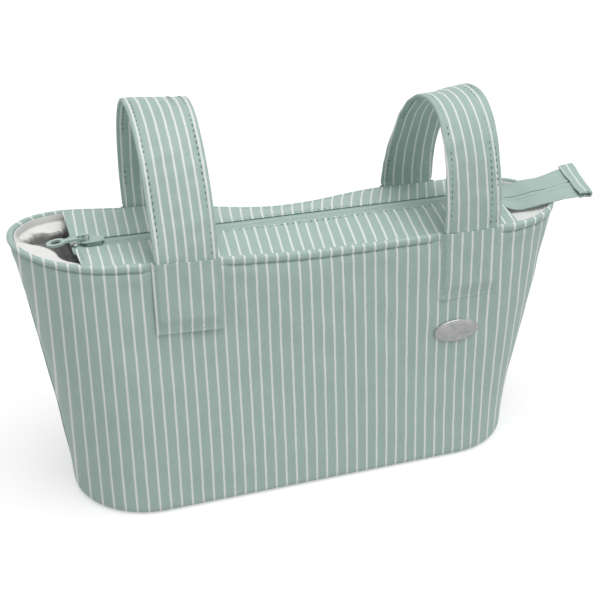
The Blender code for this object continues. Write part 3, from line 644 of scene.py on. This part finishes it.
def tapeDrop(x, y, side):
    # how far the tape bends down under its panel, past the panel's edge
    outer = sideDepth(x, rimHeight(x)) - zipLook["frontHem"][0]
    edge = zipLook["panelEdge"] + side * zipLook["shift"]
    s = np.clip((y - zipLook["panelEdge"]) / (outer - edge), 0, 1)
    under = zipPanelTop(x, s, side)[1] - zipPanelTop(x, 0 * s, side)[1]
    fade = (zipLook["tapeRight"] - x) / (zipLook["tapeRight"] - zipLook["panelRight"])
    return np.where(x > zipLook["panelRight"], under * np.clip(4 * fade - 3, 0, 1), under)


def zipTapePiece(name, side, nodes):
    x = np.linspace(zipLook["tapeLeft"], zipLook["tapeRight"], 300)
    y = np.concatenate([[zipLook["slot"] / 2], np.linspace(0.0012, zipLook["tapeHalf"], 26)])
    gridX, gridY = np.meshgrid(x, y, indexing="ij")
    half = zipLook["tapeThickness"] / 2
    drop = tapeDrop(gridX, gridY, side)
    beyond = ease(gridX, zipLook["panelRight"] + 0.004, zipLook["panelRight"] + 0.02)
    flat = stacked(gridX, side * gridY, 0)
    soft = beyond * zipLook["tapeSoft"] * waves(flat, 0.035, 61) * ease(gridY, 0.004, 0.012)
    welt = zipLook["tapeWelt"] * bump(gridY - zipLook["tapeHalf"] + 0.0012, 0.0006)
    top = zipPoint(gridX, side * gridY, drop + half + soft + welt)
    under = zipPoint(gridX, side * gridY, drop - half + soft)
    loop = np.concatenate([top, under[:, ::-1]], axis=1)
    return piece(name, [surface(loop)], tapeCloth, replaced=nodes)


for name, side, where in (("frontZipTape", -1, "front"), ("backZipTape", 1, "back")):
    zipTapePiece(name, side, ["zip_tape_" + where, "zip_tail_" + where])


ridgeLook = {"tooth": 0.00125, "inner": 0.00035, "outer": 0.0042, "half": 0.0006,
             "middle": 0.0002}


def zipRidge(name, side, nodeName):
    # half of the chain, a flat round ridge with a small rib over each of its teeth
    look = ridgeLook
    x = np.arange(zipLook["tapeLeft"] + 0.0028, zipLook["tapeRight"] - 0.004, look["tooth"] / 4)
    angles = np.linspace(-0.5 * math.pi, 1.5 * math.pi, 16, endpoint=False)
    gridX, angle = np.meshgrid(x, angles, indexing="ij")
    rib = 1 + 0.03 * np.cos(2 * math.pi * gridX / look["tooth"])
    centre, wide = (look["inner"] + look["outer"]) / 2, (look["outer"] - look["inner"]) / 2
    s = np.sin(angle)
    y = centre + wide * signedPower(np.cos(angle), 0.7)
    lift = look["middle"] + look["half"] * signedPower(s, 0.8) * np.where(s > 0, rib, 1)
    return piece(name, [surface(zipPoint(gridX, side * y, lift))], tapeCloth,
                 replaced=[nodeName])


zipRidge("frontChainRow", -1, "zip_coil_front")
zipRidge("backChainRow", 1, "zip_coil_back")


def roundedBlock(low, high, radius):
    # a block with rounded corners and edges: superellipse rings stacked along z
    centre = (np.array(low) + np.array(high)) / 2
    half = (np.array(high) - np.array(low)) / 2
    around = np.linspace(0, 2 * math.pi, 40, endpoint=False)
    c, s = signedPower(np.cos(around), 0.28), signedPower(np.sin(around), 0.28)
    return surface(np.array([stacked(centre[0] + (half[0] - inset) * c,
                                     centre[1] + (half[1] - inset) * s, centre[2] + level)
                             for inset, level in roundedRows(half[2], radius)]))


def zipStop(name, nodeName):
    low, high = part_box(nodeName)
    return piece(name, [roundedBlock(low, high, 0.0004)], polishedSteel,
                 replaced=[nodeName])


zipStop("frontZipStop", "zip_stop_front")
zipStop("backZipStop", "zip_stop_back")


tabLook = {"cloth": 0.0013, "start": 0.2070, "fold": 0.2198, "half": 0.0185, "over": 0.0011,
           "soft": 0.0003}


def endTab():
    # cloth folded round the tail's end: one thick U-shaped line carried along the fold
    look = tabLook
    under = -(zipLook["tapeThickness"] / 2 + bag["seamGap"])
    over = zipLook["tapeThickness"] / 2 + look["over"]
    middle, radius = (under + over) / 2, (over - under) / 2
    bend = np.linspace(math.pi / 2, -math.pi / 2, 13)[1:-1]
    leg = np.linspace(look["start"], look["fold"], 14)
    lines = []
    for grown in (look["cloth"], 0):
        x = [leg, look["fold"] + (0.6 * radius + grown) * np.cos(bend), leg[::-1]]
        lift = [np.full(14, over + grown), middle + (radius + grown) * np.sin(bend),
                np.full(14, under - grown)]
        lines.append(np.array([np.concatenate(x), np.concatenate(lift)]))
    x, lift = np.concatenate([lines[0], lines[1][:, ::-1]], axis=1)
    gridY, gridX = np.meshgrid(np.linspace(-look["half"], look["half"], 44), x, indexing="ij")
    soft = look["soft"] * waves(stacked(gridX, gridY, lift), 0.016, 71)
    loop = zipPoint(gridX, gridY, lift + soft)
    return piece("tailEndTab", [surface(loop)], tabCloth, replaced=["zip_end_tab"],
                 run=gridX - 0.02 * gridY)


endTab()
print("zip made")

# Slider and pull: cast pieces with soft edges under their enamel
sliderLook = {
    "x": -0.138, "length": 0.016, "width": 0.0115, "plate": 0.0012, "runningGap": 0.00035,
    "bailSetback": 0.0044, "bailSpan": 0.0060, "bailWidth": 0.0024, "bailWire": 0.0009,
    "bailHeight": 0.0031, "pullLength": 0.0185, "pullThickness": 0.0012, "ring": 0.0060,
    "eye": 0.0037, "droop": math.radians(6), "shankHalf": 0.0029, "shank": 0.0088,
    "barFront": 0.00045, "slotFar": 0.00495, "slotHalf": 0.0016,
}
sliderTop = (tapeTop + bag["seamGap"] + zipLook["coilHeight"] + sliderLook["runningGap"]
             + sliderLook["plate"])


def sliderPlate(low, high):
    # shield outline: full width at the mouth, narrower where the closed chain leaves
    look = sliderLook
    around = np.linspace(0, 2 * math.pi, 64, endpoint=False)
    along = signedPower(np.cos(around), 0.5)
    across = signedPower(np.sin(around), 0.6)
    half = look["width"] / 2 * (1 - 0.07 * (along + 1))
    return surface(np.array([stacked(look["x"] + (look["length"] / 2 - inset) * along,
                                     zipLook["shift"] + (half - inset) * across,
                                     (low + high) / 2 + level)
                             for inset, level in roundedRows((high - low) / 2, 0.0005)]))


def sliderPiece():
    # two plates, the wedge between them, a flange at each side and the arched bail on top
    look = sliderLook
    top = sliderTop - look["plate"]
    bottom = zipLook["height"] - zipLook["tapeThickness"] / 2 - look["runningGap"]
    left = look["x"] - look["length"] / 2
    middle = zipLook["shift"]
    parts = [sliderPlate(top, sliderTop), sliderPlate(bottom - look["plate"], bottom),
             roundedBlock((left + 0.0012, middle - 0.0006, bottom - 0.0006),
                          (left + 0.0042, middle + 0.0006, top + 0.0006), 0.0002)]
    for side in (-1, 1):
        ends = sorted((middle + side * 0.00345, middle + side * 0.0046))
        parts.append(roundedBlock((look["x"] - 0.0042, ends[0], tapeTop + look["runningGap"]),
                                  (look["x"] + 0.0058, ends[1], top + 0.0008), 0.0004))
    angles = np.linspace(0, math.pi, 25)
    knee = 0.4 * look["bailHeight"]
    reach = (look["bailSpan"] - look["bailWire"]) / 2
    spineX = look["x"] - look["bailSetback"] + reach * np.cos(angles)
    crown = look["bailHeight"] + look["bailWire"] / 2
    spineZ = sliderTop + knee + (crown - knee) * np.sin(angles) ** 0.5
    spineX = np.concatenate([[spineX[0]], spineX, [spineX[-1]]])
    spineZ = np.concatenate([[sliderTop - 0.0004], spineZ, [sliderTop - 0.0004]])
    tangent = np.stack([np.gradient(spineX), np.gradient(spineZ)], axis=-1)
    tangent /= np.linalg.norm(tangent, axis=-1, keepdims=True)
    around = np.linspace(0, 2 * math.pi, 20, endpoint=False)
    wide = middle + look["bailWidth"] / 2 * signedPower(np.cos(around), 0.4)
    thick = look["bailWire"] / 2 * signedPower(np.sin(around), 0.6)
    parts.append(surface(stacked(spineX[:, None] - tangent[:, 1:] * thick, wide,
                                 spineZ[:, None] + tangent[:, :1] * thick)))
    return piece("zipSlider", parts, enamel, body="slider",
                 replaced=["zip_slider"])


def pullPlate():
    # a shank that widens into a ring with a large eye, as one flat band with rounded edges
    look = sliderLook
    shank, ring, centre = look["shankHalf"], look["ring"], -look["pullLength"]
    meet = math.asin(0.85 * shank / ring)
    turn = np.linspace(math.pi - meet, -math.pi + meet, 61)
    upper = np.stack([np.linspace(look["barFront"], -look["shank"], 24), np.full(24, shank)],
                     axis=-1)
    upper[:, 1] -= 0.15 * shank * ease(-upper[:, 0], 0.004, look["shank"])
    head = np.stack([centre - ring * np.cos(turn), ring * np.sin(turn)], axis=-1)
    outline = np.concatenate([upper, head, upper[::-1] * np.array([1, -1])])
    run = runAlong(outline)
    even = np.linspace(0, run[-1], 150)
    outline = np.stack([np.interp(even, run, outline[:, k]) for k in (0, 1)], axis=-1)
    toward = np.arctan2(outline[:, 1], outline[:, 0] - centre)
    eye = np.stack([centre + look["eye"] * np.cos(toward), look["eye"] * np.sin(toward)], axis=-1)
    edges = roundedRows(look["pullThickness"] / 2, 0.0003, 7)
    rows = [(outline, inset, level) for inset, level in edges]
    rows += [(eye, -inset, level) for inset, level in edges[::-1]]
    rings = []
    for line, inset, level in rows:
        ahead = np.roll(line, -1, axis=0) - np.roll(line, 1, axis=0)
        ahead /= np.maximum(np.linalg.norm(ahead, axis=-1, keepdims=True), 1e-9)
        inward = np.stack([ahead[:, 1], -ahead[:, 0]], axis=-1)
        rings.append(np.column_stack([line + inward * inset, np.full(len(line), level)]))
    return surface(np.array(rings), closed=True)


def pullPiece():
    # the plate with the bail's slot cut out, laid over the bail's bar
    look = sliderLook
    made = piece("zipPull", [pullPlate()], enamel, body="pull",
                 replaced=["zip_pull"])
    points, faces = roundedBlock((-look["slotFar"], -look["slotHalf"], -0.003),
                                 (-look["barFront"], look["slotHalf"], 0.003), 0.0002)
    cut = bpy.data.meshes.new("pullSlot")
    cut.from_pydata(points.tolist(), [], faces)
    slot = addObject("pullSlot", cut)
    modifier = made.modifiers.new("slot", "BOOLEAN")
    modifier.operation = "DIFFERENCE"
    modifier.solver = "EXACT"
    modifier.object = slot
    bpy.context.view_layer.update()
    graph = bpy.context.evaluated_depsgraph_get()
    cutMesh = bpy.data.meshes.new_from_object(made.evaluated_get(graph))
    made.modifiers.clear()
    old = made.data
    made.data = cutMesh
    bpy.data.meshes.remove(old)
    bpy.data.objects.remove(slot)
    height = sliderTop + look["bailHeight"] - look["pullThickness"] / 2 - look["barFront"]
    turned = Matrix.Translation((look["x"] - look["bailSetback"], zipLook["shift"], height))
    made.data.transform(turned @ Matrix.Rotation(-look["droop"], 4, "Y"))
    return made


sliderPiece()
pullPiece()
print("slider and pull made")

# Straps: a folded band of the cloth, sewn along both edges
strapLook = {
    "half": 0.0205, "thickness": 0.0019, "collar": 0.0030, "leg": 0.049, "arch": 0.150,
    "foot": 0.0125, "stitchInset": 0.0038, "stations": 230, "tuck": 0.10, "pressed": 0.00022,
    "welt": 0.00012, "full": 0.00015, "sway": 0.00045, "ripple": 0.00012,
}
leftStrap = {"name": "leftStrap", "x": -0.0878, "rise": 0.0821, "tilt": 0.0015,
             "lean": 0.0125, "twist": -0.0039, "skew": 0.0012, "stripeLean": 0.0}
rightStrap = {"name": "rightStrap", "x": 0.1059, "rise": 0.0809, "tilt": 0.0012,
              "lean": -0.0103, "twist": 0.0055, "skew": 0.0034, "stripeLean": 0.05}


def strapMiddle(strap, along, across):
    # along 0 to 1 runs up the front leg, over the arch and down the back leg
    look = strapLook
    share = across / look["half"]
    x = strap["x"] + across
    rim = rimHeight(x)
    standoff = bag["seamGap"] + look["thickness"] / 2
    foot = rim - patchLook["height"] + look["foot"]
    spring = rim + look["collar"]
    total = 2 * look["leg"] + look["arch"]
    path = along * total
    angle = np.clip((path - look["leg"]) / look["arch"], 0, 1) * math.pi
    leaning = (strap["lean"] + strap["twist"] * share) * np.sin(angle)
    archY = -(sideDepth(x, rim) + standoff) * np.cos(angle) + leaning
    archZ = (spring + (strap["rise"] + strap["tilt"] * share) * np.sin(angle)
             + strap["skew"] * np.sin(2 * angle))
    frontZ = foot + (spring - foot) * np.clip(path / look["leg"], 0, 1)
    backZ = foot + (spring - foot) * np.clip((total - path) / look["leg"], 0, 1)
    frontY = -(sideDepth(x, np.minimum(frontZ, rim)) + standoff)
    backY = sideDepth(x, np.minimum(backZ, rim)) + standoff
    inFront, behind = path < look["leg"], total - path < look["leg"]
    y = np.where(inFront, frontY, np.where(behind, backY, archY))
    z = np.where(inFront, frontZ, np.where(behind, backZ, archZ))
    return stacked(x, y, z)


def strapNormals(points):
    # outward normals of the strap's middle surface, from its two tangents
    along = np.gradient(points, axis=0)
    across = np.gradient(points, axis=1)
    normal = np.cross(across, along)
    normal /= np.linalg.norm(normal, axis=-1, keepdims=True)
    return normal


def strapPiece(strap, finish, nodeName):
    # a flattened ring swept along the strap's middle surface, with pressed rows of stitches
    look = strapLook
    edge = look["thickness"] / 2
    flat = np.linspace(-(look["half"] - edge), look["half"] - edge, 45)
    around = np.linspace(math.pi / 2, -math.pi / 2, 9)[1:-1]
    across = np.concatenate([flat, look["half"] - edge + edge * np.cos(around)])
    level = np.concatenate([np.ones(45), np.sin(around)])
    across = np.concatenate([across, -across])
    level = np.concatenate([level, -level])
    along = np.linspace(0, 1, look["stations"])
    wide = np.linspace(-look["half"], look["half"], 41)
    gridA, gridW = np.meshgrid(along, wide, indexing="ij")
    middle = strapMiddle(strap, gridA, gridW)
    normals = strapNormals(middle)
    place = np.clip((across + look["half"]) / (2 * look["half"]) * 40, 0, 40)
    low = np.clip(np.floor(place).astype(int), 0, 39)
    part = (place - low)[None, :, None]
    centre = middle[:, low] * (1 - part) + middle[:, low + 1] * part
    normal = normals[:, low] * (1 - part) + normals[:, low + 1] * part
    inset = look["half"] - np.abs(across) - look["stitchInset"]
    relief = look["welt"] * bump(inset + 0.0022, 0.0012) - look["pressed"] * bump(inset, 0.0006)
    relief = relief + look["full"] * ease(inset, 0.003, 0.012)
    bend = look["sway"] * waves(centre, 0.040, 83) + look["ripple"] * waves(centre, 0.012, 89)
    sides = level[None, :] * (edge + relief[None, :])
    points = centre + normal * (sides + bend * ease(along, 0.12, 0.24)[:, None]
                                * (1 - ease(along, 0.76, 0.88)[:, None]))[..., None]
    # its ends are drawn in where a patch covers them
    hidden = np.maximum(1 - ease(along, 0.165, 0.197), ease(along, 0.803, 0.835))[:, None]
    points[..., 0] -= look["tuck"] * hidden * (points[..., 0] - strap["x"])
    return piece(strap["name"], [surface(points)], finish, replaced=[nodeName], sharp=75,
                 run=points[..., 0] + strap["stripeLean"] * points[..., 2])


for strap, finish, nodeName in ((leftStrap, leftStrapCloth, "left_strap"),
                                (rightStrap, rightStrapCloth, "right_strap")):
    strapPiece(strap, finish, nodeName)
print("straps made")


def patchPoints(centre, side, across, up, depth):
    # a point over the wall: across the patch, up from its foot, depth out of the wall
    x = centre + across
    z = rimHeight(x) - patchLook["height"] + up
    y = sideDepth(x, z) + depth
    return stacked(x, side * y, z)


def patchStand(fromSide, fromFoot):
    # how far the patch stands off the wall: it climbs from its edges on to the strap's end
    climb = ease(fromSide, 0.0005, 0.0034) * ease(fromFoot, 0.0022, 0.0118)
    return patchLook["ground"] + (patchLook["stand"] - patchLook["ground"]) * climb


def patchPiece(name, centre, side, nodeName):
    look = patchLook
    near = np.array([0, 0.0002, 0.0005, 0.0009])
    across = np.concatenate([near - look["half"],
                             np.linspace(-look["half"] + 0.0014, look["half"] - 0.0014, 46),
                             look["half"] - near[::-1]])
    up = np.concatenate([near, np.linspace(0.0014, look["height"], 56)])
    fromFoot, gridA = np.meshgrid(up, across, indexing="ij")
    fromSide = look["half"] - np.abs(gridA)
    fromEdge = np.minimum(fromSide, fromFoot)
    # a raised edge, a dimple along the stitches and soft cloth between them
    flat = stacked(gridA + centre, side, fromFoot)
    outer = patchStand(fromSide, fromFoot) + look["tuft"] * bump(fromEdge - 0.0009, 0.0009)
    outer = outer - look["dimple"] * bump(fromEdge - look["stitchInset"], 0.0006)
    outer = outer + ease(fromEdge, 0.003, 0.007) * look["soft"] * waves(flat, 0.018, 97)
    cloth = look["cloth"] * edgeRound(fromEdge, 0.0008)
    outside = outer - look["cloth"] + cloth
    inside = np.maximum(outside - cloth - 0.00002, bag["seamGap"] * 0.6)
    top = patchPoints(centre, side, gridA, fromFoot, outside)
    under = patchPoints(centre, side, gridA, fromFoot, inside)
    loop = np.concatenate([top, under[:, ::-1]], axis=1)
    return piece(name, [surface(loop)], stripedCloth, replaced=[nodeName], sharp=75,
                 run=wallRun(loop[..., 0]))


for sideName, centre in (("Left", bag["strapLeft"]), ("Right", bag["strapRight"])):
    for where, side in (("front", -1), ("back", 1)):
        patchPiece(where + "Patch" + sideName, centre, side,
                            "patch_" + where + "_" + sideName.lower())
print("patches made")

# Lining: satin bag, loose at both ends, where it slumps in folds off a sewn facing band
liningLook = {
    "offset": -0.0043, "thickness": 0.0007, "topFree": -0.0018, "topHidden": -0.0093,
    "floor": 0.0045, "band": 0.0050, "slumpLeft": 0.0165, "slumpRight": 0.024,
    "foldLength": 0.024, "fineLength": 0.0095, "fine": 0.0010, "lip": 0.0022, "groove": 0.0026,
    "puff": 0.0085, "puffSwing": 0.0045, "hang": 0.0030, "seam": 0.0011, "inset": 0.004,
}


def liningPiece():
    look = liningLook
    front = halfOutline(170, 90, 0.0005)
    back = tuple(part[::-1] for part in front)
    share = np.concatenate([front[0], back[0]])
    sine = np.concatenate([front[1], back[1]])
    cosine = np.concatenate([-front[2], back[2]])
    samples = (share, sine, np.abs(cosine))
    side = np.sign(cosine)
    topX, depthThere = section(share, sine, 1.0)
    rim = rimHeight(topX)
    free = np.maximum(ease(-topX, 0.1475, 0.1500), ease(topX, 0.1370, 0.1400))
    top = rim + look["topHidden"] + (look["topFree"] - look["topHidden"]) * free
    run = np.concatenate([np.linspace(0, 0.20, 60), np.linspace(0.22, 1, 34)])
    down = run[:, None] * (top - look["floor"])[None, :]
    z = top[None, :] - down
    topY = side * np.abs(cosine) * depthThere
    # creases run down at a slant, gathered in broad and in fine folds
    slope = runAlong(np.stack([topX, topY], axis=-1))[None, :] + 0.35 * down
    crease = stacked(slope, 0.22 * down, 0)
    gather = waves(crease, look["foldLength"], 107, 6)
    fineGather = waves(crease * np.array([1, 0.6, 1]), look["fineLength"], 103, 6)
    below = down - look["band"]
    inFront = ease(-topY / np.maximum(depthThere, 0.001), -0.30, 0.35)[None, :]
    leftEnd = ease(-topX, 0.118, 0.158)[None, :]
    rightEnd = ease(topX, 0.112, 0.150)[None, :]
    atEnd = np.maximum(leftEnd, rightEnd)
    # in front a doubled ledge slumps in just under the rim; behind, short puffs hang off a band
    shelf = ease(down, 0.0010, 0.0052) * (1 - 0.70 * ease(down, 0.0115, 0.040))
    lip = (look["lip"] * bump(down - 0.0098, 0.0011)
           - look["groove"] * bump(down - 0.0074, 0.0009))
    ledge = (look["slumpLeft"] * leftEnd + look["slumpRight"] * rightEnd) * shelf + lip * atEnd
    ledge = ledge * (0.93 + 0.07 * gather)
    puff = ease(below, -0.0005, 0.0030) * (1 - 0.85 * ease(below, 0.0045, 0.0120))
    loose = look["hang"] * ease(below, 0.004, 0.012) * (0.5 + 0.5 * gather)
    hang = puff * (look["puff"] + look["puffSwing"] * gather) + loose
    hang = hang * atEnd - look["seam"] * bump(below + 0.0004, 0.0009) * atEnd
    offset = look["offset"] - ledge * inFront - hang * (1 - inFront)
    offset = offset - look["fine"] * ease(down, 0.004, 0.009) * fineGather * atEnd
    lower = ease(down, 0.10, 0.15)
    offset = offset * (1 - lower) + (look["offset"] - look["inset"]) * lower
    offset = np.minimum(offset, look["offset"] + 0.0006)
    inner = wallPoints(offset, z, side, samples)
    outer = wallPoints(offset + look["thickness"], z, side, samples)
    floorLow = outer[-1].copy()
    floorLow[:, 2] -= look["thickness"]
    rows = np.concatenate([floorLow[None], outer[::-1], inner], axis=0)
    return piece("satinLining", [surface(rows)], satin,
                 replaced=["lining"], sharp=80)


liningPiece()
print("lining made")

# Stitches: short thread capsules that dive into the cloth at both ends
stitchLook = {"length": 0.0021, "pitch": 0.0041, "radius": 0.00030, "sunk": 0.0003}


def stitchParts(line, outward, trim=0.0):
    # a capsule at each of even steps along a sewn line; outward is the cloth's normal there
    length, radius = stitchLook["length"], stitchLook["radius"]
    run = runAlong(line)
    sewn = run[-1] - 2 * trim
    count = max(int(sewn / stitchLook["pitch"]), 1)
    wanted = trim + (np.arange(count) + 0.5) * sewn / count
    centres, ahead, up = [
        np.stack([np.interp(wanted, run, values[:, k]) for k in range(3)], axis=-1)
        for values in (line, np.gradient(line, axis=0), outward)]
    ahead /= np.linalg.norm(ahead, axis=-1, keepdims=True)
    up -= ahead * np.sum(up * ahead, axis=-1, keepdims=True)
    up /= np.linalg.norm(up, axis=-1, keepdims=True)
    across = np.cross(ahead, up)
    u = np.linspace(-1, 1, 7)[:, None]
    around = np.linspace(0, 2 * math.pi, 6, endpoint=False)[None, :]
    full = np.sqrt(np.clip(1 - np.abs(u) ** 3, 0.02, 1))
    side = full * np.cos(around)
    rise = full * np.sin(around) - 1.3 * u**2 + 0.35
    points = (centres[:, None, None] + ahead[:, None, None] * (u + 0 * side)[..., None] * length / 2
              + across[:, None, None] * side[..., None] * radius
              + up[:, None, None] * rise[..., None] * radius)
    return [surface(part) for part in points]


def strapStitches(strap, rows, name):
    # rows of stitches on both faces; each row has an inset from an edge and that edge's side
    look = strapLook
    gridA, gridW = np.meshgrid(np.linspace(0.195, 0.805, 500),
                               np.linspace(-look["half"], look["half"], 41), indexing="ij")
    middle = strapMiddle(strap, gridA, gridW)
    normals = strapNormals(middle)
    lift = look["thickness"] / 2 - 0.0002
    parts = []
    for inset, edge in rows:
        place = edge * (look["half"] - inset) + look["half"]
        column = int(round(place / (2 * look["half"]) * 40))
        for side in (1, -1):
            line = middle[:, column] + side * normals[:, column] * lift
            parts += stitchParts(line, side * normals[:, column])
    return piece(name, parts, threadGreen, sharp=80)


strapStitches(leftStrap, [(0.0040, -1), (0.0040, 1), (0.0115, 1)], "leftStrapStitches")
strapStitches(rightStrap, [(0.0036, -1), (0.0034, 1), (0.0068, 1)], "rightStrapStitches")


def patchStitches(centre, side, name):
    look = patchLook
    inset, far = look["stitchInset"], look["half"] - look["stitchInset"]
    up = np.linspace(look["height"] - 0.001, inset, 120)
    across = np.linspace(-far, far, 120)
    normal = np.tile([0.0, side, 0.0], (120, 1))
    parts = []
    for lineAcross, lineUp in ((-far, up), (far, up), (across, inset)):
        depth = patchStand(look["half"] - np.abs(lineAcross), lineUp) - stitchLook["sunk"]
        line = patchPoints(centre, side, lineAcross, lineUp, depth)
        parts += stitchParts(line, normal, trim=0.0006)
    return piece(name, parts, threadPale, sharp=80)


for sideName, centre in (("Left", bag["strapLeft"]), ("Right", bag["strapRight"])):
    patchStitches(centre, -1, "frontPatchStitches" + sideName)
    patchStitches(centre, 1, "backPatchStitches" + sideName)


def zipPanelStitches(side, name):
    # one row along the zip and one across the panel's left end
    x = np.linspace(zipLook["panelLeft"] + 0.0025, zipLook["panelRight"] - 0.0025, 500)
    y = zipLook["shift"] + side * (zipLook["panelEdge"] + 0.0024)
    row = stacked(x, y, ridgeHeight - stitchLook["sunk"])
    endX = zipLook["panelLeft"] + 0.0026
    depth, height = zipPanelTop(endX, np.linspace(0.06, 0.93, 200), side)
    endRow = stacked(endX, side * depth, height - stitchLook["sunk"])
    parts = []
    for line in (row, endRow):
        parts += stitchParts(line, np.tile([0.0, 0.0, 1.0], (len(line), 1)))
    return piece(name, parts, threadPale, sharp=80)


zipPanelStitches(-1, "frontZipPanelStitches")
zipPanelStitches(1, "backZipPanelStitches")
print("stitches made")

# Badge: pressed oval shell, bare and polished
badgeLook = {"x": 0.0975, "z": 0.1005, "width": 0.033, "height": 0.0165, "dome": 0.0022,
             "edge": 0.0007, "gap": 0.0003}


def badgePiece():
    look = badgeLook
    step = 0.004
    rise = sideDepth(look["x"], look["z"] + step) - sideDepth(look["x"], look["z"] - step)
    turn = sideDepth(look["x"] + step, look["z"]) - sideDepth(look["x"] - step, look["z"])
    around = np.linspace(0, 2 * math.pi, 96, endpoint=False)
    rows = []
    profile = [(0.90, 0.0), (0.985, 0.0), (1.0, 0.15), (1.0, 0.75), (0.985, 0.95), (0.965, 1.0)]
    for share, height in profile:
        rows.append((share, look["edge"] * height))
    for angle in np.linspace(0.12, math.pi / 2 - 0.02, 26):
        share = 0.955 * math.cos(angle)
        rows.append((share, look["edge"] + (look["dome"] - look["edge"]) * math.sin(angle) ** 1.1))
    rings = [stacked(look["width"] / 2 * share * np.cos(around), -look["gap"] - lift,
                     look["height"] / 2 * share * np.sin(around)) for share, lift in rows]
    # its steel's colour is darkened to paint the dark surroundings it mirrors
    made = piece("badgeOval", [surface(np.array(rings))], badgeSteelPaintedDark,
                 replaced=["badge_plate"], sharp=50)
    tilt = Matrix.Rotation(math.atan2(rise, 2 * step), 4, "X")
    swing = Matrix.Rotation(-math.atan2(turn, 2 * step), 4, "Z")
    place = Matrix.Translation((look["x"], -float(sideDepth(look["x"], look["z"])), look["z"]))
    made.data.transform(place @ swing @ tilt)
    return made


badgePiece()

for nodeName, finish in (("base_board", paperBoard), ("badge_washer", polishedSteel)):
    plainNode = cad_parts[nodeName]
    plainNode.data.materials.clear()
    plainNode.data.materials.append(finish)
print("badge and hidden pieces made")

# Studio: pale floor, soft even light, a white background for the camera
studio = {
    "floorSize": 6.0, "floorPaper": "#D2D2D1", "floorGlow": 0.46, "worldLevel": 0.40,
    "topSun": 1.78, "sideSun": 0.22,
    "topDirection": (0.12, -0.28, 1.0), "sideDirection": (0.50, -1.0, 0.35),
}


def seenByCamera(tree, plain, bright):
    # the camera and mirror-like bounces see the bright shader, all other light the plain one
    path = node(tree, "ShaderNodeLightPath").outputs
    shiny = calculate(tree, "MAXIMUM", path["Is Glossy Ray"], path["Is Transmission Ray"])
    seen = calculate(tree, "MAXIMUM", path["Is Camera Ray"], shiny)
    return node(tree, "ShaderNodeMixShader", {0: seen, 1: plain, 2: bright}).outputs[0]


def floorPiece():
    half = studio["floorSize"] / 2
    mesh = bpy.data.meshes.new("studioFloor")
    corners = [(-half, -half), (half, -half), (half, half), (-half, half)]
    mesh.from_pydata([(x, y, -0.0001) for x, y in corners], [], [(0, 1, 2, 3)])
    finish = bpy.data.materials.new("paleStudioFloor")
    finish.use_nodes = True
    tree = finish.node_tree
    tree.nodes.clear()
    paper = node(tree, "ShaderNodeBsdfDiffuse", {"Color": toLinear(studio["floorPaper"])})
    glow = node(tree, "ShaderNodeEmission", {"Color": (1, 1, 1, 1),
                                             "Strength": studio["floorGlow"]})
    lifted = node(tree, "ShaderNodeAddShader", {0: paper.outputs[0], 1: glow.outputs[0]})
    node(tree, "ShaderNodeOutputMaterial", {
        "Surface": seenByCamera(tree, paper.outputs[0], lifted.outputs[0])})
    mesh.materials.append(finish)
    addObject("studioFloor", mesh)


def studioWorld():
    world = bpy.data.worlds.new("studioWorld")
    world.use_nodes = True
    tree = world.node_tree
    tree.nodes.clear()
    soft, white = [node(tree, "ShaderNodeBackground", {
        "Color": (1, 1, 1, 1), "Strength": strength}).outputs[0]
        for strength in (studio["worldLevel"], 1.0)]
    node(tree, "ShaderNodeOutputWorld", {"Surface": seenByCamera(tree, soft, white)})
    bpy.context.scene.world = world


def softSun(name, strength, direction, angle):
    light = bpy.data.lights.new(name, "SUN")
    light.energy = strength
    light.angle = math.radians(angle)
    made = addObject(name, light)
    made.rotation_euler = Vector(direction).to_track_quat("Z", "Y").to_euler()


floorPiece()
studioWorld()
softSun("topSun", studio["topSun"], studio["topDirection"], 50)
softSun("sideSun", studio["sideSun"], studio["sideDirection"], 60)

# Camera: fitted to the photograph's rim, base, straps and stripes
view = {
    "azimuth": math.radians(-17.155), "elevation": math.radians(23.476),
    "roll": math.radians(-1.303), "distance": 0.7716, "target": (0, 0, 0.12),
    "offsetRight": 0.0025, "offsetUp": -0.0045, "focalPixels": 1097.7, "framePixels": 600,
}


def studioCamera():
    turn, tip, roll = view["azimuth"], view["elevation"], view["roll"]
    back = Vector((math.sin(turn) * math.cos(tip), -math.cos(turn) * math.cos(tip), math.sin(tip)))
    right = Vector((math.cos(turn), math.sin(turn), 0))
    up = back.cross(right)
    rolledRight = math.cos(roll) * right + math.sin(roll) * up
    rolledUp = -math.sin(roll) * right + math.cos(roll) * up
    place = (Vector(view["target"]) + back * view["distance"]
             + rolledRight * view["offsetRight"] + rolledUp * view["offsetUp"])
    lens = bpy.data.cameras.new("studioCamera")
    lens.sensor_width = 36
    lens.lens = 36 * view["focalPixels"] / view["framePixels"]
    lens.clip_start = 0.01
    made = addObject("studioCamera", lens)
    axes = Matrix((rolledRight, rolledUp, back)).transposed().to_4x4()
    made.matrix_world = Matrix.Translation(place) @ axes
    bpy.context.scene.camera = made


studioCamera()
bpy.context.scene.view_settings.view_transform = "Standard"
print("studio ready")
